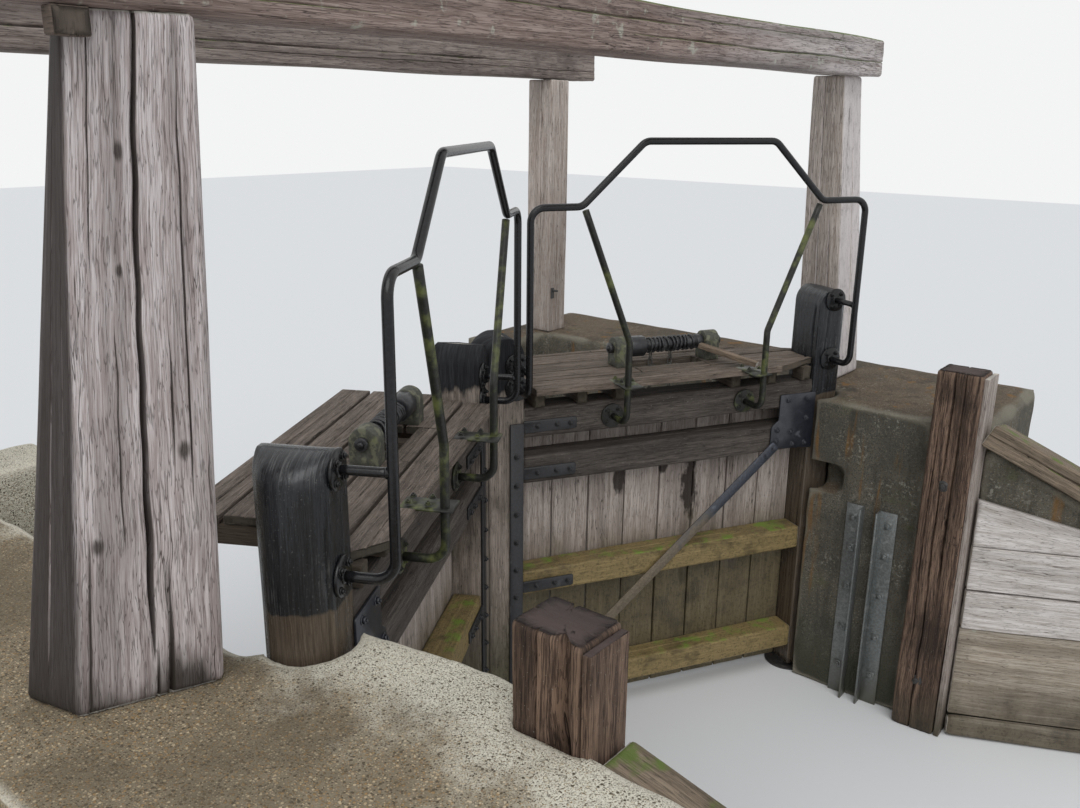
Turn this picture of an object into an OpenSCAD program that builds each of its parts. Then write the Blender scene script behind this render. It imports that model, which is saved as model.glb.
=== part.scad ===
// Pair of timber mitre gates closed in a V between two abutments, hung on heel posts in
// hollow quoins under two oak portal frames. Millimetres, +Z up, X across the channel
// (near bank at -X, far bank at +X), Y upstream. Z = 0 is the tail water line.

/* [Channel and banks] */
// half the distance between the two turning axes of the leaves
pivot_x = 1791; // [1600:1:2000]
// half the clear width between the downstream abutment faces
face_x = 1650; // [1500:1:1700]
// half the clear width of the chamber upstream of the gate recess
chamber_x = 1490; // [1400:1:1560]
// outer face of both abutments, measured from the middle of the channel
bank_x = 2700; // [2500:10:3000]
// top of the coping above the tail water
coping_top = 1740; // [1600:10:1900]
// depth of the coping blocks
coping_h = 377; // [250:1:450]
// how far the chamber walls run upstream of the turning axes
up_len = 2420; // [2350:1:2600]
// where the gate recess ends and the chamber wall steps forward
recess_len = 2088; // [2080:1:2140]
// clearance between the open leaf and the back of the recess
recess_gap = 62; // [60:1:110]
// distance from the turning axes down to the front of the hollow quoin
quoin_lip = 83; // [80:1:86]

/* [Fender posts and wing walls] */
// distance from the turning axes to the upstream side of the fender posts
fender_y = 737; // [700:1:800]
// width of a fender post along the channel
fender_w = 255; // [200:1:300]
// thickness of a fender post across the channel
fender_t = 180; // [140:1:220]
// how far a fender post stands proud of the abutment face
fender_proud = 95; // [60:1:120]
// height of a fender post above the coping
fender_rise = 290; // [150:10:350]
// angle of the wing walls to the channel
wing_angle = 26; // [15:1:35]
// length of a wing wall
wing_len = 960; // [800:10:1200]
// thickness of a wing wall
wing_t = 340; // [250:10:400]
// drop of the wing cap in each metre of wing
wing_fall = 300; // [200:10:350]
// depth of the wing cap timber
cap_h = 150; // [120:1:190]
// thickness of the facing boards on the wing
wing_board_t = 45; // [30:1:60]

/* [Portal frames] */
// clear height under the beams above the coping
portal_clear = 1708; // [1600:1:1900]
// depth of both beams
beam_h = 196; // [160:1:240]
// distance of the inner face of the far downstream post from the middle, at its top
far_in = 1925; // [1920:1:2000]
// width of the far downstream post at its top
far_w = 242; // [220:1:320]
// distance of the inner face of the near downstream post from the middle, at its top
near_in = 1998; // [1960:1:2040]
// width of the near downstream post at its top
near_w = 316; // [260:1:340]
// distance of the inner faces of the downstream posts from the middle, at the foot
foot_in = 2065; // [2060:1:2100]
// width of a downstream post at its foot
foot_w = 415; // [340:1:440]
// depth of a downstream post along the channel at its top
gantry_d = 206; // [180:1:240]
// depth of a downstream post along the channel at its foot
foot_d = 285; // [250:1:300]
// how far the downstream beam runs past the far post
far_end = 185; // [120:1:300]
// how far the downstream beam runs past the near post
near_end = 246; // [120:1:300]
// distance of the inner faces of the upstream posts from the middle
up_post_in = 1970; // [1970:1:2020]
// width of an upstream post across the channel
up_post_w = 186; // [150:1:220]
// depth of an upstream post along the channel
up_post_d = 208; // [180:1:240]
// how far the upstream beam runs past its posts
up_end = 300; // [120:1:340]

/* [Leaves] */
// angle of each closed leaf to the line between the turning axes
mitre_angle = 29.4; // [18:0.1:32]
// depth of the posts of a leaf from its downstream to its upstream face
post_d = 230; // [200:2:240]
// width of a heel post along the leaf
heel_w = 176; // [150:2:190]
// radius to which the heel side of a heel post is rounded
heel_r = 131; // [125:1:140]
// clearance of a heel post in its hollow quoin
quoin_gap = 7; // [5:1:15]
// distance from the turning axis to the inner edge of the mitre post
mitre_in = 1806; // [1700:1:1830]
// half the gap between the two mitre posts
mitre_gap = 3; // [2.6:0.1:6]
// thickness of the rails
rail_t = 145; // [120:1:150]
// height of the bottom of the top rail above the tail water
top_rail_z = 1685; // [1660:1:1700]
// depth of the top rail
top_rail_h = 155; // [130:1:160]
// height of the bottom of the second rail
second_rail_z = 1435; // [1400:1:1450]
// depth of the second rail
second_rail_h = 155; // [120:1:170]
// height of the bottom of the third rail
third_rail_z = 815; // [780:1:850]
// depth of the third rail
third_rail_h = 138; // [110:1:160]
// height of the bottom of the bottom rail
bottom_rail_z = 170; // [120:1:200]
// depth of the bottom rail
bottom_rail_h = 132; // [110:1:160]
// thickness of the vertical boards
board_t = 40; // [25:1:45]
// number of vertical boards on a leaf
boards = 8; // [6:1:10]
// gap between two boards
board_gap = 4; // [2:1:8]
// height of the leaf's lower edge over the tail water line
leaf_bottom = 45; // [40:1:80]
// top of the heel post over the tail water
heel_top = 2335; // [2250:1:2400]
// top of the mitre post over the tail water
mitre_top = 2200; // [2150:1:2240]
// diameter of the pin under a heel post
pin_d = 60; // [40:1:70]

/* [Ironwork] */
// thickness of the flat straps and plates
strap_t = 9; // [6:1:12]
// distance from the turning axis to the heel edge of the gusset plate
plate_u = 68; // [64:1:80]
// width of the mitre strip
mitre_strip_w = 72; // [60:1:80]
// width of the straps on the rails
strap_w = 62; // [50:1:70]
// length of the strap arms on the rails
strap_len = 285; // [200:5:320]
// width of the diagonal strap
diagonal_w = 46; // [35:1:60]
// leg of the galvanised stop plank angles
angle_leg = 100; // [80:1:110]
// thickness of the stop plank angles
angle_t = 10; // [8:1:14]
// clear width of the stop plank groove
groove_w = 82; // [70:1:100]

/* [Walkway] */
// height of the walkway above the coping
deck_rise = 212; // [180:1:240]
// thickness of the walkway planks
plank_t = 35; // [30:1:45]
// width of a walkway plank
plank_w = 145; // [130:1:155]
// gap between two walkway planks
plank_gap = 12; // [8:1:20]
// distance of the front edge of the walkway from the middle of the leaf
deck_front = 190; // [180:1:210]
// distance from the turning axis to the mitre end of the walkway
deck_end = 1872; // [1850:1:1900]
// width of a walkway bearer
bearer_w = 60; // [50:1:80]

/* [Handrail] */
// outside diameter of the rail tube
tube_d = 33.7; // [30:0.1:40]
// distance of the rail plane from the middle of the leaf
rail_y = 282; // [270:1:300]
// height of the rail shoulders above the walkway
shoulder_h = 878; // [800:1:950]
// height of the rail top above the walkway
hump_h = 1168; // [1050:1:1250]
// bend radius of the tube on its centre line
bend_r = 75; // [60:1:90]
// diameter of the round flanges
flange_d = 126; // [110:1:130]
// thickness of the flanges
flange_t = 10; // [8:1:14]

/* [Windlass] */
// diameter of the barrel
barrel_d = 62; // [50:1:80]
// across the flats of the eight sided head of the barrel
head_d = 104; // [90:1:115]
// height of the barrel axis above the walkway
barrel_rise = 98; // [90:1:110]
// distance of the barrel axis upstream of the middle of the leaf
barrel_y = -116; // [-130:1:-100]
// distance from the far turning axis to the first bearing block of its windlass
far_block_u = 600; // [580:1:700]
// distance from the near turning axis to the first bearing block of its windlass
near_block_u = 850; // [700:1:900]
// distance between the outer faces of the two blocks
windlass_len = 620; // [560:1:640]
// thickness of a bearing block
block_t = 82; // [60:1:100]
// length of the handspike
spike_len = 332; // [320:1:350]
// thickness of the chain bar
wire_d = 9; // [7:1:11]
// length of a chain link
link_len = 66; // [56:1:76]
// width of a chain link
link_w = 30; // [28:1:34]

/* [Hidden] */

$fn = 48;
eps = 0.5;
seat = 0.3;

// the turning axes lie at this Y, so that the whole part is centred on the origin
wing_reach = wing_len * cos(wing_angle);
down_y = fender_y + fender_w;
axis_y = (down_y + wing_reach - up_len) / 2;

deck_z = coping_top + deck_rise;
bearer_top = deck_z - plank_t;
top_rail_top = top_rail_z + top_rail_h;
barrel_z = deck_z + barrel_rise;
deck_back = deck_front - 5 * plank_w - 4 * plank_gap;
links = 9;
link_in = link_w / 2 - wire_d;
link_pitch = link_len - link_w + 2 * (link_in * sqrt(2) - wire_d / 2) - 2 * seat;
bar_z = barrel_z - 20 - (links - 1) * link_pitch - link_len / 2 - seat;
recess_x = pivot_x + post_d / 2 + recess_gap;
quoin_r = heel_r + quoin_gap;
lip_dx = sqrt(quoin_r * quoin_r - quoin_lip * quoin_lip);
recess_dx = recess_x - pivot_x;
recess_dy = quoin_r / 3;
wing_drop = atan(wing_fall / 1000);
wing_top = coping_top - cap_h;
up_post_y = recess_len - 26;
beam_z = coping_top + portal_clear;
up_beam_half = up_post_in + up_post_w + up_end;
heel_half = heel_w / 2;
face_v = post_d / 2;
board_v = face_v - rail_t;

// distance along the leaf to the mitre face at a given depth v
function mitre_u(v) = (pivot_x - mitre_gap - v * sin(mitre_angle)) / cos(mitre_angle);

// puts a shape of the far leaf, drawn along +X with its downstream face at +Y, in place
module far_leaf() {
    translate([pivot_x, axis_y, 0])
        rotate([0, 0, 180 - mitre_angle])
            children();
}

// the near leaf is the mirror of the far leaf
module near_leaf() {
    mirror([1, 0, 0])
        far_leaf()
            children();
}

module far_side() {
    translate([0, axis_y, 0])
        children();
}

module near_side() {
    mirror([1, 0, 0])
        far_side()
            children();
}

// plan of an abutment with its hollow quoin and gate recess
module wall_plan() {
    difference() {
        union() {
            translate([face_x, -down_y])
                square([bank_x - face_x, down_y + up_len]);
            translate([chamber_x, recess_len])
                square([bank_x - chamber_x, up_len - recess_len]);
            wing_plan();
        }
        translate([face_x - 1, -quoin_lip])
            square([pivot_x - face_x + 1, recess_len + quoin_lip]);
        translate([pivot_x, recess_dy])
            square([recess_dx, recess_len - recess_dy]);
        translate([pivot_x, 0])
            circle(r = quoin_r, $fn = 72);
        fender_slot();
    }
}

module wing_plan() {
    polygon([
        [face_x, -down_y],
        [face_x + wing_len * sin(wing_angle), -down_y - wing_reach],
        [face_x + wing_len * sin(wing_angle) + wing_t * cos(wing_angle),
            -down_y - wing_reach + wing_t * sin(wing_angle)],
        [bank_x - 500, -down_y + eps],
        [face_x, -down_y + eps]
    ]);
}

module fender_slot() {
    translate([face_x - 1, -down_y])
        square([fender_t - fender_proud + 1, fender_w]);
}

// everything over the sloping underside of the wing cap
module wing_cut() {
    intersection() {
        translate([0, -down_y - wing_len, 0])
            cube([bank_x, wing_len, 3000]);
        on_wing()
            translate([-60, -400, wing_top])
                rotate([0, wing_drop, 0])
                    translate([0, 0, -eps])
                        cube([wing_len * 2, wing_t * 3, 900]);
    }
}

module abutment() {
    difference() {
        linear_extrude(coping_top - coping_h)
            wall_plan();
        wing_cut();
        notch();
    }
}

// pocket under the coping beside the quoin
module notch() {
    translate([face_x - 1, -quoin_lip - 185, coping_top - coping_h - 155])
        cube([120, 190, 200]);
}

// square topped masonry over the abutment
module coping() {
    translate([0, 0, coping_top - coping_h])
        linear_extrude(coping_h)
            difference() {
                wall_plan();
                translate([0, -down_y - wing_len])
                    square([bank_x + 10, wing_len]);
            }
}

module near_abutment() {
    color([0.50, 0.47, 0.38]) near_side() abutment();
}

module far_abutment() {
    color([0.50, 0.47, 0.38]) far_side() abutment();
}

module near_coping() {
    color([0.72, 0.70, 0.62]) near_side() coping();
}

module far_coping() {
    color([0.72, 0.70, 0.62]) far_side() coping();
}

// oak post, wider at its foot
module downstream_post(inner, width) {
    hull() {
        translate([inner, -32, beam_z - 1])
            cube([width, gantry_d, 1]);
        translate([foot_in, gantry_d - 32 - foot_d, coping_top])
            cube([foot_w, foot_d, 1]);
    }
}

module near_downstream_post() {
    color([0.62, 0.57, 0.52]) near_side() downstream_post(near_in, near_w);
}

module far_downstream_post() {
    color([0.62, 0.57, 0.52]) far_side() downstream_post(far_in, far_w);
}

module upstream_post() {
    translate([up_post_in, up_post_y, coping_top])
        cube([up_post_w, up_post_d, portal_clear]);
}

module upstream_posts() {
    color([0.62, 0.55, 0.47]) {
        far_side() upstream_post();
        near_side() upstream_post();
    }
}

// beam with weathered edges from x = a to x = b
module beam(a, b, depth) {
    rotate([90, 0, 90])
        translate([0, 0, a])
            linear_extrude(b - a)
                polygon([
                    [12, 0], [depth - 8, 0], [depth, 10], [depth, beam_h - 18],
                    [depth - 16, beam_h], [20, beam_h], [0, beam_h - 22], [0, 14]
                ]);
}

module downstream_beam() {
    color([0.52, 0.44, 0.36])
        translate([0, axis_y - 32, beam_z])
            beam(-near_in - near_w - near_end, far_in + far_w + far_end, gantry_d);
}

module upstream_beam() {
    color([0.52, 0.44, 0.36])
        translate([0, axis_y + up_post_y, beam_z])
            beam(-up_beam_half, up_beam_half, up_post_d);
}

// timber cleat under an end of the downstream beam, beside the post
module cleat(x) {
    translate([x + seat, -20, beam_z - 62])
        cube([66, 110, 62]);
}

module beam_cleats() {
    color([0.30, 0.25, 0.20]) {
        far_side() cleat(far_in + far_w + 14);
        near_side() cleat(near_in + near_w + 14);
    }
}

// iron latch on the channel face of each upstream post
module latch() {
    translate([up_post_in + 14, up_post_y - 8, coping_top + 240])
        cube([26, 8, 74]);
    translate([up_post_in + 27, up_post_y - 4, coping_top + 296])
        rotate([90, 0, 0])
            cylinder(d = 16, h = 44);
}

module post_latches() {
    color([0.15, 0.14, 0.14]) {
        far_side() latch();
        near_side() latch();
    }
}

// fender post with a recessed bolt and a thin board on its downstream side
module fender() {
    fx = face_x - fender_proud;
    difference() {
        translate([fx, -down_y + 28, 0])
            cube([fender_t, fender_w - 28, coping_top + fender_rise]);
        translate([fx - 1, -down_y + 150, coping_top - 310])
            rotate([0, 90, 0])
                cylinder(d = 56, h = 26);
        translate([fx - 1, -down_y + 150, 300])
            rotate([0, 90, 0])
                cylinder(d = 56, h = 26);
    }
    translate([fx + 8, -down_y, 0])
        cube([fender_t - 8, 28, coping_top - 20]);
}

module fender_posts() {
    color([0.30, 0.22, 0.16]) {
        far_side() fender();
        near_side() fender();
    }
}

// frame of the wing face: x runs along the wing, y out into the channel
module on_wing() {
    translate([face_x, -down_y, 0])
        rotate([0, 0, -90 + wing_angle])
            children();
}

module wing_board(z0, z1, thick) {
    translate([2, -thick - seat, z0])
        cube([wing_len - 2, thick, z1 - z0]);
}

module wing_facing() {
    on_wing() {
        difference() {
            wing_board(1128, 1560, wing_board_t);
            translate([-60, -100, wing_top])
                rotate([0, wing_drop, 0])
                    translate([0, 0, -2])
                        cube([wing_len + 300, 200, 400]);
        }
        wing_board(870, 1122, wing_board_t);
        wing_board(634, 864, wing_board_t + 8);
        wing_board(240, 628, wing_board_t - 15);
        wing_board(0, 232, wing_board_t + 12);
    }
}

module wing_boards() {
    color([0.66, 0.62, 0.56]) {
        far_side() wing_facing();
        near_side() wing_facing();
    }
}

module wing_cap() {
    difference() {
        on_wing()
            translate([-60, -wing_board_t - 25, wing_top])
                rotate([0, wing_drop, 0])
                    translate([64 + cap_h * tan(wing_drop), 0, 0])
                        cube([wing_len, 210, cap_h]);
        translate([face_x - 200, -down_y - seat, wing_top - 300])
            cube([bank_x, 500, 900]);
    }
}

module wing_caps() {
    color([0.45, 0.38, 0.30]) {
        far_side() wing_cap();
        near_side() wing_cap();
    }
}

// pair of galvanised angles that form the stop plank groove
module angle_pair() {
    g0 = -470;
    for (s = [-1, 1])
        translate([face_x - seat, g0 + s * groove_w / 2, 0]) {
            translate([-angle_t, s < 0 ? -angle_leg : 0, 0])
                cube([angle_t, angle_leg, 1178]);
            translate([-angle_leg * 0.7, s < 0 ? -angle_t : 0, 0])
                cube([angle_leg * 0.7, angle_t, 1178]);
        }
}

module plank_angles() {
    color([0.62, 0.64, 0.64]) {
        far_side() angle_pair();
        near_side() angle_pair();
    }
}

module pintle_cup() {
    translate([pivot_x, 0, 0])
        difference() {
            union() {
                cylinder(d = 150, h = 38);
                cylinder(r = quoin_r - seat, h = 8, $fn = 72);
            }
            translate([0, 0, 10])
                cylinder(d = pin_d + 1, h = 40);
        }
}

module pintle_cups() {
    color([0.25, 0.23, 0.22]) {
        far_side() pintle_cup();
        near_side() pintle_cup();
    }
}

// heel post: rounded towards the quoin up to the coping, then square with a barrel shaped top
module heel_post() {
    square_z = coping_top + 30;
    translate([0, 0, leaf_bottom])
        linear_extrude(square_z - leaf_bottom)
            heel_section();
    translate([0, face_v, 0])
        rotate([90, 0, 0])
            linear_extrude(post_d)
                union() {
                    translate([-heel_half, square_z])
                        square([heel_w, heel_top - heel_half - square_z]);
                    translate([0, heel_top - heel_half])
                        circle(r = heel_half, $fn = 64);
                }
    translate([0, 0, 10 + seat])
        cylinder(d = pin_d, h = leaf_bottom - 10);
}

module heel_section() {
    intersection() {
        translate([-heel_half, -face_v])
            square([heel_w, post_d]);
        union() {
            circle(r = heel_r, $fn = 72);
            translate([0, -face_v])
                square([heel_half, post_d]);
        }
    }
}

// mitre post: one face cut to meet the other leaf
module mitre_section() {
    polygon([
        [mitre_in, -face_v],
        [mitre_u(-face_v) - 110, -face_v],
        [mitre_u(-20), -20],
        [mitre_u(face_v), face_v],
        [mitre_in, face_v]
    ]);
}

module mitre_post() {
    head_r = (mitre_u(face_v) - mitre_in) / 2;
    head_c = mitre_in + head_r;
    translate([0, 0, leaf_bottom])
        linear_extrude(mitre_top - head_r - leaf_bottom)
            mitre_section();
    intersection() {
        translate([head_c, face_v, mitre_top - head_r])
            rotate([90, 0, 0])
                cylinder(r = head_r, h = post_d, $fn = 64);
        linear_extrude(mitre_top + 1)
            mitre_section();
    }
}

// rail with a weathered top edge, between the two posts of a leaf
module rail(z, h, slope) {
    translate([heel_half + seat, 0, 0])
        rotate([90, 0, 90])
            linear_extrude(mitre_in - heel_half - 2 * seat)
                polygon([
                    [board_v, z], [face_v, z], [face_v, z + h - slope],
                    [face_v - 3 * slope - 1, z + h], [board_v, z + h]
                ]);
}

module leaf_rails() {
    rail(top_rail_z, top_rail_h, 2);
    rail(second_rail_z, second_rail_h, 12);
    rail(third_rail_z, third_rail_h, 6);
    rail(bottom_rail_z, bottom_rail_h, 6);
}

module leaf_boards() {
    span = mitre_in - heel_half - 2 * seat;
    pitch = (span + board_gap) / boards;
    for (i = [0 : boards - 1])
        translate([heel_half + seat + i * pitch, board_v - board_t - seat, leaf_bottom])
            cube([pitch - board_gap, board_t, top_rail_top - 30 - leaf_bottom]);
}

// vertical strip on the mitre post with an arm on each of three rails
module mitre_strap() {
    x0 = mitre_in + 4;
    translate([0, face_v + seat, 0]) {
        translate([x0, 0, leaf_bottom + 60])
            cube([mitre_strip_w, strap_t, top_rail_top - 75 - leaf_bottom - 60]);
        for (z = [top_rail_z + 28, second_rail_z + 32, third_rail_z + 22, bottom_rail_z + 22])
            translate([x0 - strap_len, 0, z])
                cube([strap_len + 1, strap_t, strap_w]);
    }
}

// gusset plate joining the heel post to the upper two rails
module heel_plate() {
    translate([0, face_v + seat + strap_t, 0])
        rotate([90, 0, 0])
            linear_extrude(strap_t)
                polygon([
                    [plate_u, second_rail_z + 5], [345, second_rail_z + 25],
                    [345, second_rail_z + 150], [300, second_rail_z + 185],
                    [300, top_rail_top - 75], [plate_u, top_rail_top - 75]
                ]);
}

// flat strap from the gusset down to the foot of the mitre post
module diagonal_strap() {
    u0 = 340;
    z0 = second_rail_z + 20;
    u1 = mitre_in - 70;
    z1 = bottom_rail_z + 60;
    len = sqrt(pow(u1 - u0, 2) + pow(z0 - z1, 2));
    translate([u0, face_v + strap_t + 2 * seat, z0])
        rotate([0, atan2(z0 - z1, u1 - u0), 0])
            translate([-40, 0, -diagonal_w / 2])
                cube([len + 80, strap_t, diagonal_w]);
}

// outline of the near walkway: its heel end is cut back to swing past the portal post
module near_deck_plan() {
    polygon([
        [133, 92], [300, deck_front], [deck_end, deck_front], [deck_end, deck_back],
        [330, deck_back], [335, -272], [126, -60]
    ]);
}

module far_deck_plan() {
    polygon([
        [96, 92], [330, 156], [440, deck_front], [deck_end, deck_front],
        [deck_end, deck_back + 96], [900, deck_back + 96], [530, -372], [150, -240],
        [96, -182]
    ]);
}

module deck_strips() {
    for (i = [0 : 4])
        translate([0, deck_front - plank_w - i * (plank_w + plank_gap)])
            square([2600, plank_w]);
}

// opening for the chains under the barrel
module deck_hole(bu) {
    translate([bu + block_t + 20, barrel_y - 62])
        square([windlass_len - 2 * block_t - 40, 124]);
}

module leaf_deck(bu) {
    translate([0, 0, bearer_top])
        linear_extrude(plank_t)
            difference() {
                intersection() {
                    children();
                    deck_strips();
                }
                deck_hole(bu);
                translate([mitre_in - 8, -face_v - 8])
                    square([400, post_d + 16]);
                translate([1772, face_v - 5])
                    square([400, 200]);
            }
}

// timbers laid across the top rail under the walkway
module leaf_bearers(back) {
    bearer(372, back + 20);
    bearer(600, back + 20);
    bearer(1290, back + 15);
    bearer(1500, back + 15);
    bearer(1730, back + 15);
    bearer(150, 40);
}

module bearer(u, back) {
    translate([u - bearer_w / 2, back, top_rail_top + seat])
        cube([bearer_w, deck_front - 60 - back, bearer_top - top_rail_top - 2 * seat]);
}

// straight tube between two points of the rail plane, x along the leaf and z up
module run(a, b) {
    d = [b[0] - a[0], b[1] - a[1]];
    translate([a[0], rail_y, a[1]])
        rotate([0, atan2(d[0], d[1]), 0])
            cylinder(d = tube_d, h = norm(d), $fn = 12);
}

// bent tube through the points p, each inner point with a bend of radius r
module bent(p, r) {
    n = len(p);
    for (i = [0 : n - 2]) {
        a = i == 0 ? p[0] : p[i] + unit(p[i + 1] - p[i]) * tangent(p, i, r);
        b = i == n - 2 ? p[n - 1] : p[i + 1] - unit(p[i + 1] - p[i]) * tangent(p, i + 1, r);
        run(a, b);
    }
    for (i = [1 : n - 2])
        elbow(p[i - 1], p[i], p[i + 1], r);
}

function unit(v) = v / norm(v);
function turn(p, i) = acos(unit(p[i] - p[i - 1]) * unit(p[i + 1] - p[i]));
function tangent(p, i, r) = r * tan(turn(p, i) / 2);

// one bend: a piece of a ring tangent to both runs
module elbow(a, b, c, r) {
    d1 = unit(b - a);
    d2 = unit(c - b);
    ang = acos(d1 * d2);
    side = d1[0] * d2[1] - d1[1] * d2[0] > 0 ? 1 : -1;
    n1 = [-d1[1], d1[0]] * side;
    centre = b - d1 * r * tan(ang / 2) + n1 * r;
    start = atan2(-n1[1], -n1[0]);
    from = side > 0 ? start : start - ang;
    translate([centre[0], rail_y, centre[1]])
        rotate([90, 0, 0])
            rotate([0, 0, from])
                rotate_extrude(angle = ang)
                    translate([r, 0])
                        circle(d = tube_d, $fn = 12);
}

// tube from the rail plane back to a post face, with its round flange
module stub(u, z, from) {
    translate([u, from, z])
        rotate([90, 0, 0])
            cylinder(d = tube_d - 4, h = from - face_v - seat - 1, $fn = 12);
    flange(u, z, face_v);
}

module flange(u, z, v) {
    translate([u, v + seat + flange_t, z])
        rotate([90, 0, 0])
            cylinder(d = flange_d, h = flange_t, $fn = 32);
}

// foot of an upright: bends back to its flange
module foot(u, z, v) {
    r = 62;
    translate([u, rail_y - r, z + r])
        rotate([0, 90, 0])
            rotate_extrude(angle = 90)
                translate([r, 0])
                    circle(d = tube_d, $fn = 12);
    translate([u, rail_y - r, z])
        rotate([90, 0, 0])
            cylinder(d = tube_d, h = rail_y - r - v - seat - 1, $fn = 12);
    flange(u, z, v);
}

rail_u = [-8, 262, 568, 1280, 1593, 1846];

module leaf_handrail() {
    low = deck_z - 5;
    zs = deck_z + shoulder_h;
    zt = deck_z + hump_h;
    bent([
        [rail_u[0], low + 62], [rail_u[0], zs], [rail_u[1], zs], [rail_u[2], zt],
        [rail_u[3], zt], [rail_u[4], zs], [rail_u[5], zs], [rail_u[5], low + 62]
    ], bend_r);
    foot(rail_u[0], low, face_v);
    foot(rail_u[5], low, face_v);
    stub(rail_u[0], deck_z + 325, rail_y);
    stub(rail_u[5], deck_z + 110, rail_y);
}

// sloping stays with the plates that tie them to the walkway
module leaf_stays() {
    stay(rail_u[1] + 10, 535, 1);
    stay(rail_u[4] - 10, 1325, -1);
}

module stay(u_top, u_low, dir) {
    zs = deck_z + shoulder_h;
    zk = deck_z + 225;
    z_low = top_rail_z + 72;
    top = [u_top, zs] + unit([u_low - u_top, zk - zs]) * tube_d * 0.58;
    bent([top, [u_low, zk], [u_low, z_low + 62]], bend_r);
    foot(u_low, z_low, face_v);
    translate([u_low - (dir > 0 ? 30 : 75), 125, deck_z + seat])
        cube([105, 190, 9]);
}

// one bearing block with a rounded top
module block(u) {
    r = 57;
    translate([u, barrel_y, 0])
        rotate([90, 0, 90])
            difference() {
                linear_extrude(block_t)
                    union() {
                        translate([-r, deck_z + seat])
                            square([2 * r, barrel_rise]);
                        translate([0, barrel_z])
                            circle(r = r, $fn = 48);
                    }
                translate([0, barrel_z, -1])
                    cylinder(d = 37, h = block_t + 2);
            }
}

module leaf_blocks(bu) {
    block(bu);
    block(bu + windlass_len - block_t);
}

// round barrel with an eight sided head and thinner journals in the blocks
module barrel_solid(bu) {
    u0 = bu + block_t;
    u1 = bu + windlass_len - block_t;
    translate([0, barrel_y, barrel_z])
        rotate([0, 90, 0]) {
            translate([0, 0, bu - 26])
                cylinder(d = 36, h = windlass_len + 52);
            translate([0, 0, u0 + 3])
                cylinder(d = 76, h = 40);
            translate([0, 0, u0 + 42])
                cylinder(d = barrel_d, h = u1 - u0 - 140);
            translate([0, 0, u1 - 100])
                rotate([0, 0, 22.5])
                    cylinder(d = head_d, h = 97, $fn = 8);
            translate([0, 0, bu - 26])
                cylinder(d = 52, h = 22);
            translate([0, 0, bu + windlass_len + 4])
                cylinder(d = 52, h = 22);
        }
}

// timber lever standing in the socket of the barrel and lying on the walkway
module handspike() {
    translate([far_block_u + block_t + 56, barrel_y, barrel_z - 2])
        rotate([0, 0, 39])
            rotate([-11.2, 0, 0])
                translate([0, 51, -12])
                    cube([38, spike_len, 24]);
}

// chain link standing on edge, made of flat bar
module link(flat) {
    rotate([0, 0, flat])
        rotate([90, 0, 0])
            translate([0, 0, -wire_d / 2])
                linear_extrude(wire_d)
                    difference() {
                        link_shape(link_w / 2);
                        link_shape(link_in);
                    }
}

// long eight sided outline, r from its middle line
module link_shape(r) {
    h = (link_len - link_w) / 2;
    t = r * tan(22.5);
    polygon([
        [r, -h - t], [r, h + t], [t, h + r], [-t, h + r],
        [-r, h + t], [-r, -h - t], [-t, -h - r], [t, -h - r]
    ]);
}

module chain_fall(u, v, z_top, n) {
    for (i = [0 : n - 1])
        translate([u, v, z_top - i * link_pitch])
            link(i % 2 == 0 ? 0 : 90);
}

// chains that hang from the barrel to the paddle
module leaf_chain(bu) {
    for (u = [bu + 250, bu + 370])
        chain_fall(u, barrel_y - barrel_d / 2 - 10, barrel_z - 20, links);
}

// paddle board with its guides on the upstream face of the leaf
module leaf_paddle(bu) {
    v = board_v - board_t - seat;
    m = bu + 310;
    for (u = [m - 210, m + 160])
        translate([u, v - 60, 200])
            cube([50, 60, 1350]);
    translate([m - 160 - seat, v - 40, 260])
        cube([320 + 2 * seat, 40, 520]);
    translate([m - 24, v - 42, 780])
        cube([48, 42, bar_z - 780]);
    translate([m - 90, v - 94, bar_z - 40])
        cube([180, 84, 40]);
}

module near_heel_post() {
    color([0.12, 0.12, 0.13]) near_leaf() heel_post();
}

module far_heel_post() {
    color([0.12, 0.12, 0.13]) far_leaf() heel_post();
}

module near_mitre_post() {
    color([0.55, 0.48, 0.42]) near_leaf() mitre_post();
}

module far_mitre_post() {
    color([0.55, 0.48, 0.42]) far_leaf() mitre_post();
}

module near_rails() {
    color([0.42, 0.35, 0.28]) near_leaf() leaf_rails();
}

module far_rails() {
    color([0.42, 0.35, 0.28]) far_leaf() leaf_rails();
}

module near_boards() {
    color([0.58, 0.53, 0.50]) near_leaf() leaf_boards();
}

module far_boards() {
    color([0.58, 0.53, 0.50]) far_leaf() leaf_boards();
}

module near_mitre_strap() {
    color([0.12, 0.13, 0.16]) near_leaf() mitre_strap();
}

module far_mitre_strap() {
    color([0.12, 0.13, 0.16]) far_leaf() mitre_strap();
}

module near_heel_plate() {
    color([0.12, 0.13, 0.18]) near_leaf() heel_plate();
}

module far_heel_plate() {
    color([0.12, 0.13, 0.18]) far_leaf() heel_plate();
}

module near_diagonal() {
    color([0.20, 0.20, 0.24]) near_leaf() diagonal_strap();
}

module far_diagonal() {
    color([0.20, 0.20, 0.24]) far_leaf() diagonal_strap();
}

module near_deck() {
    color([0.50, 0.44, 0.38]) near_leaf() leaf_deck(near_block_u) near_deck_plan();
}

module far_deck() {
    color([0.50, 0.44, 0.38]) far_leaf() leaf_deck(far_block_u) far_deck_plan();
}

module near_bearers() {
    color([0.30, 0.25, 0.20]) near_leaf() leaf_bearers(deck_back);
}

module far_bearers() {
    color([0.30, 0.25, 0.20]) far_leaf() leaf_bearers(deck_back + 100);
}

module near_handrail() {
    color([0.10, 0.10, 0.12]) near_leaf() leaf_handrail();
}

module far_handrail() {
    color([0.10, 0.10, 0.12]) far_leaf() leaf_handrail();
}

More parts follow.
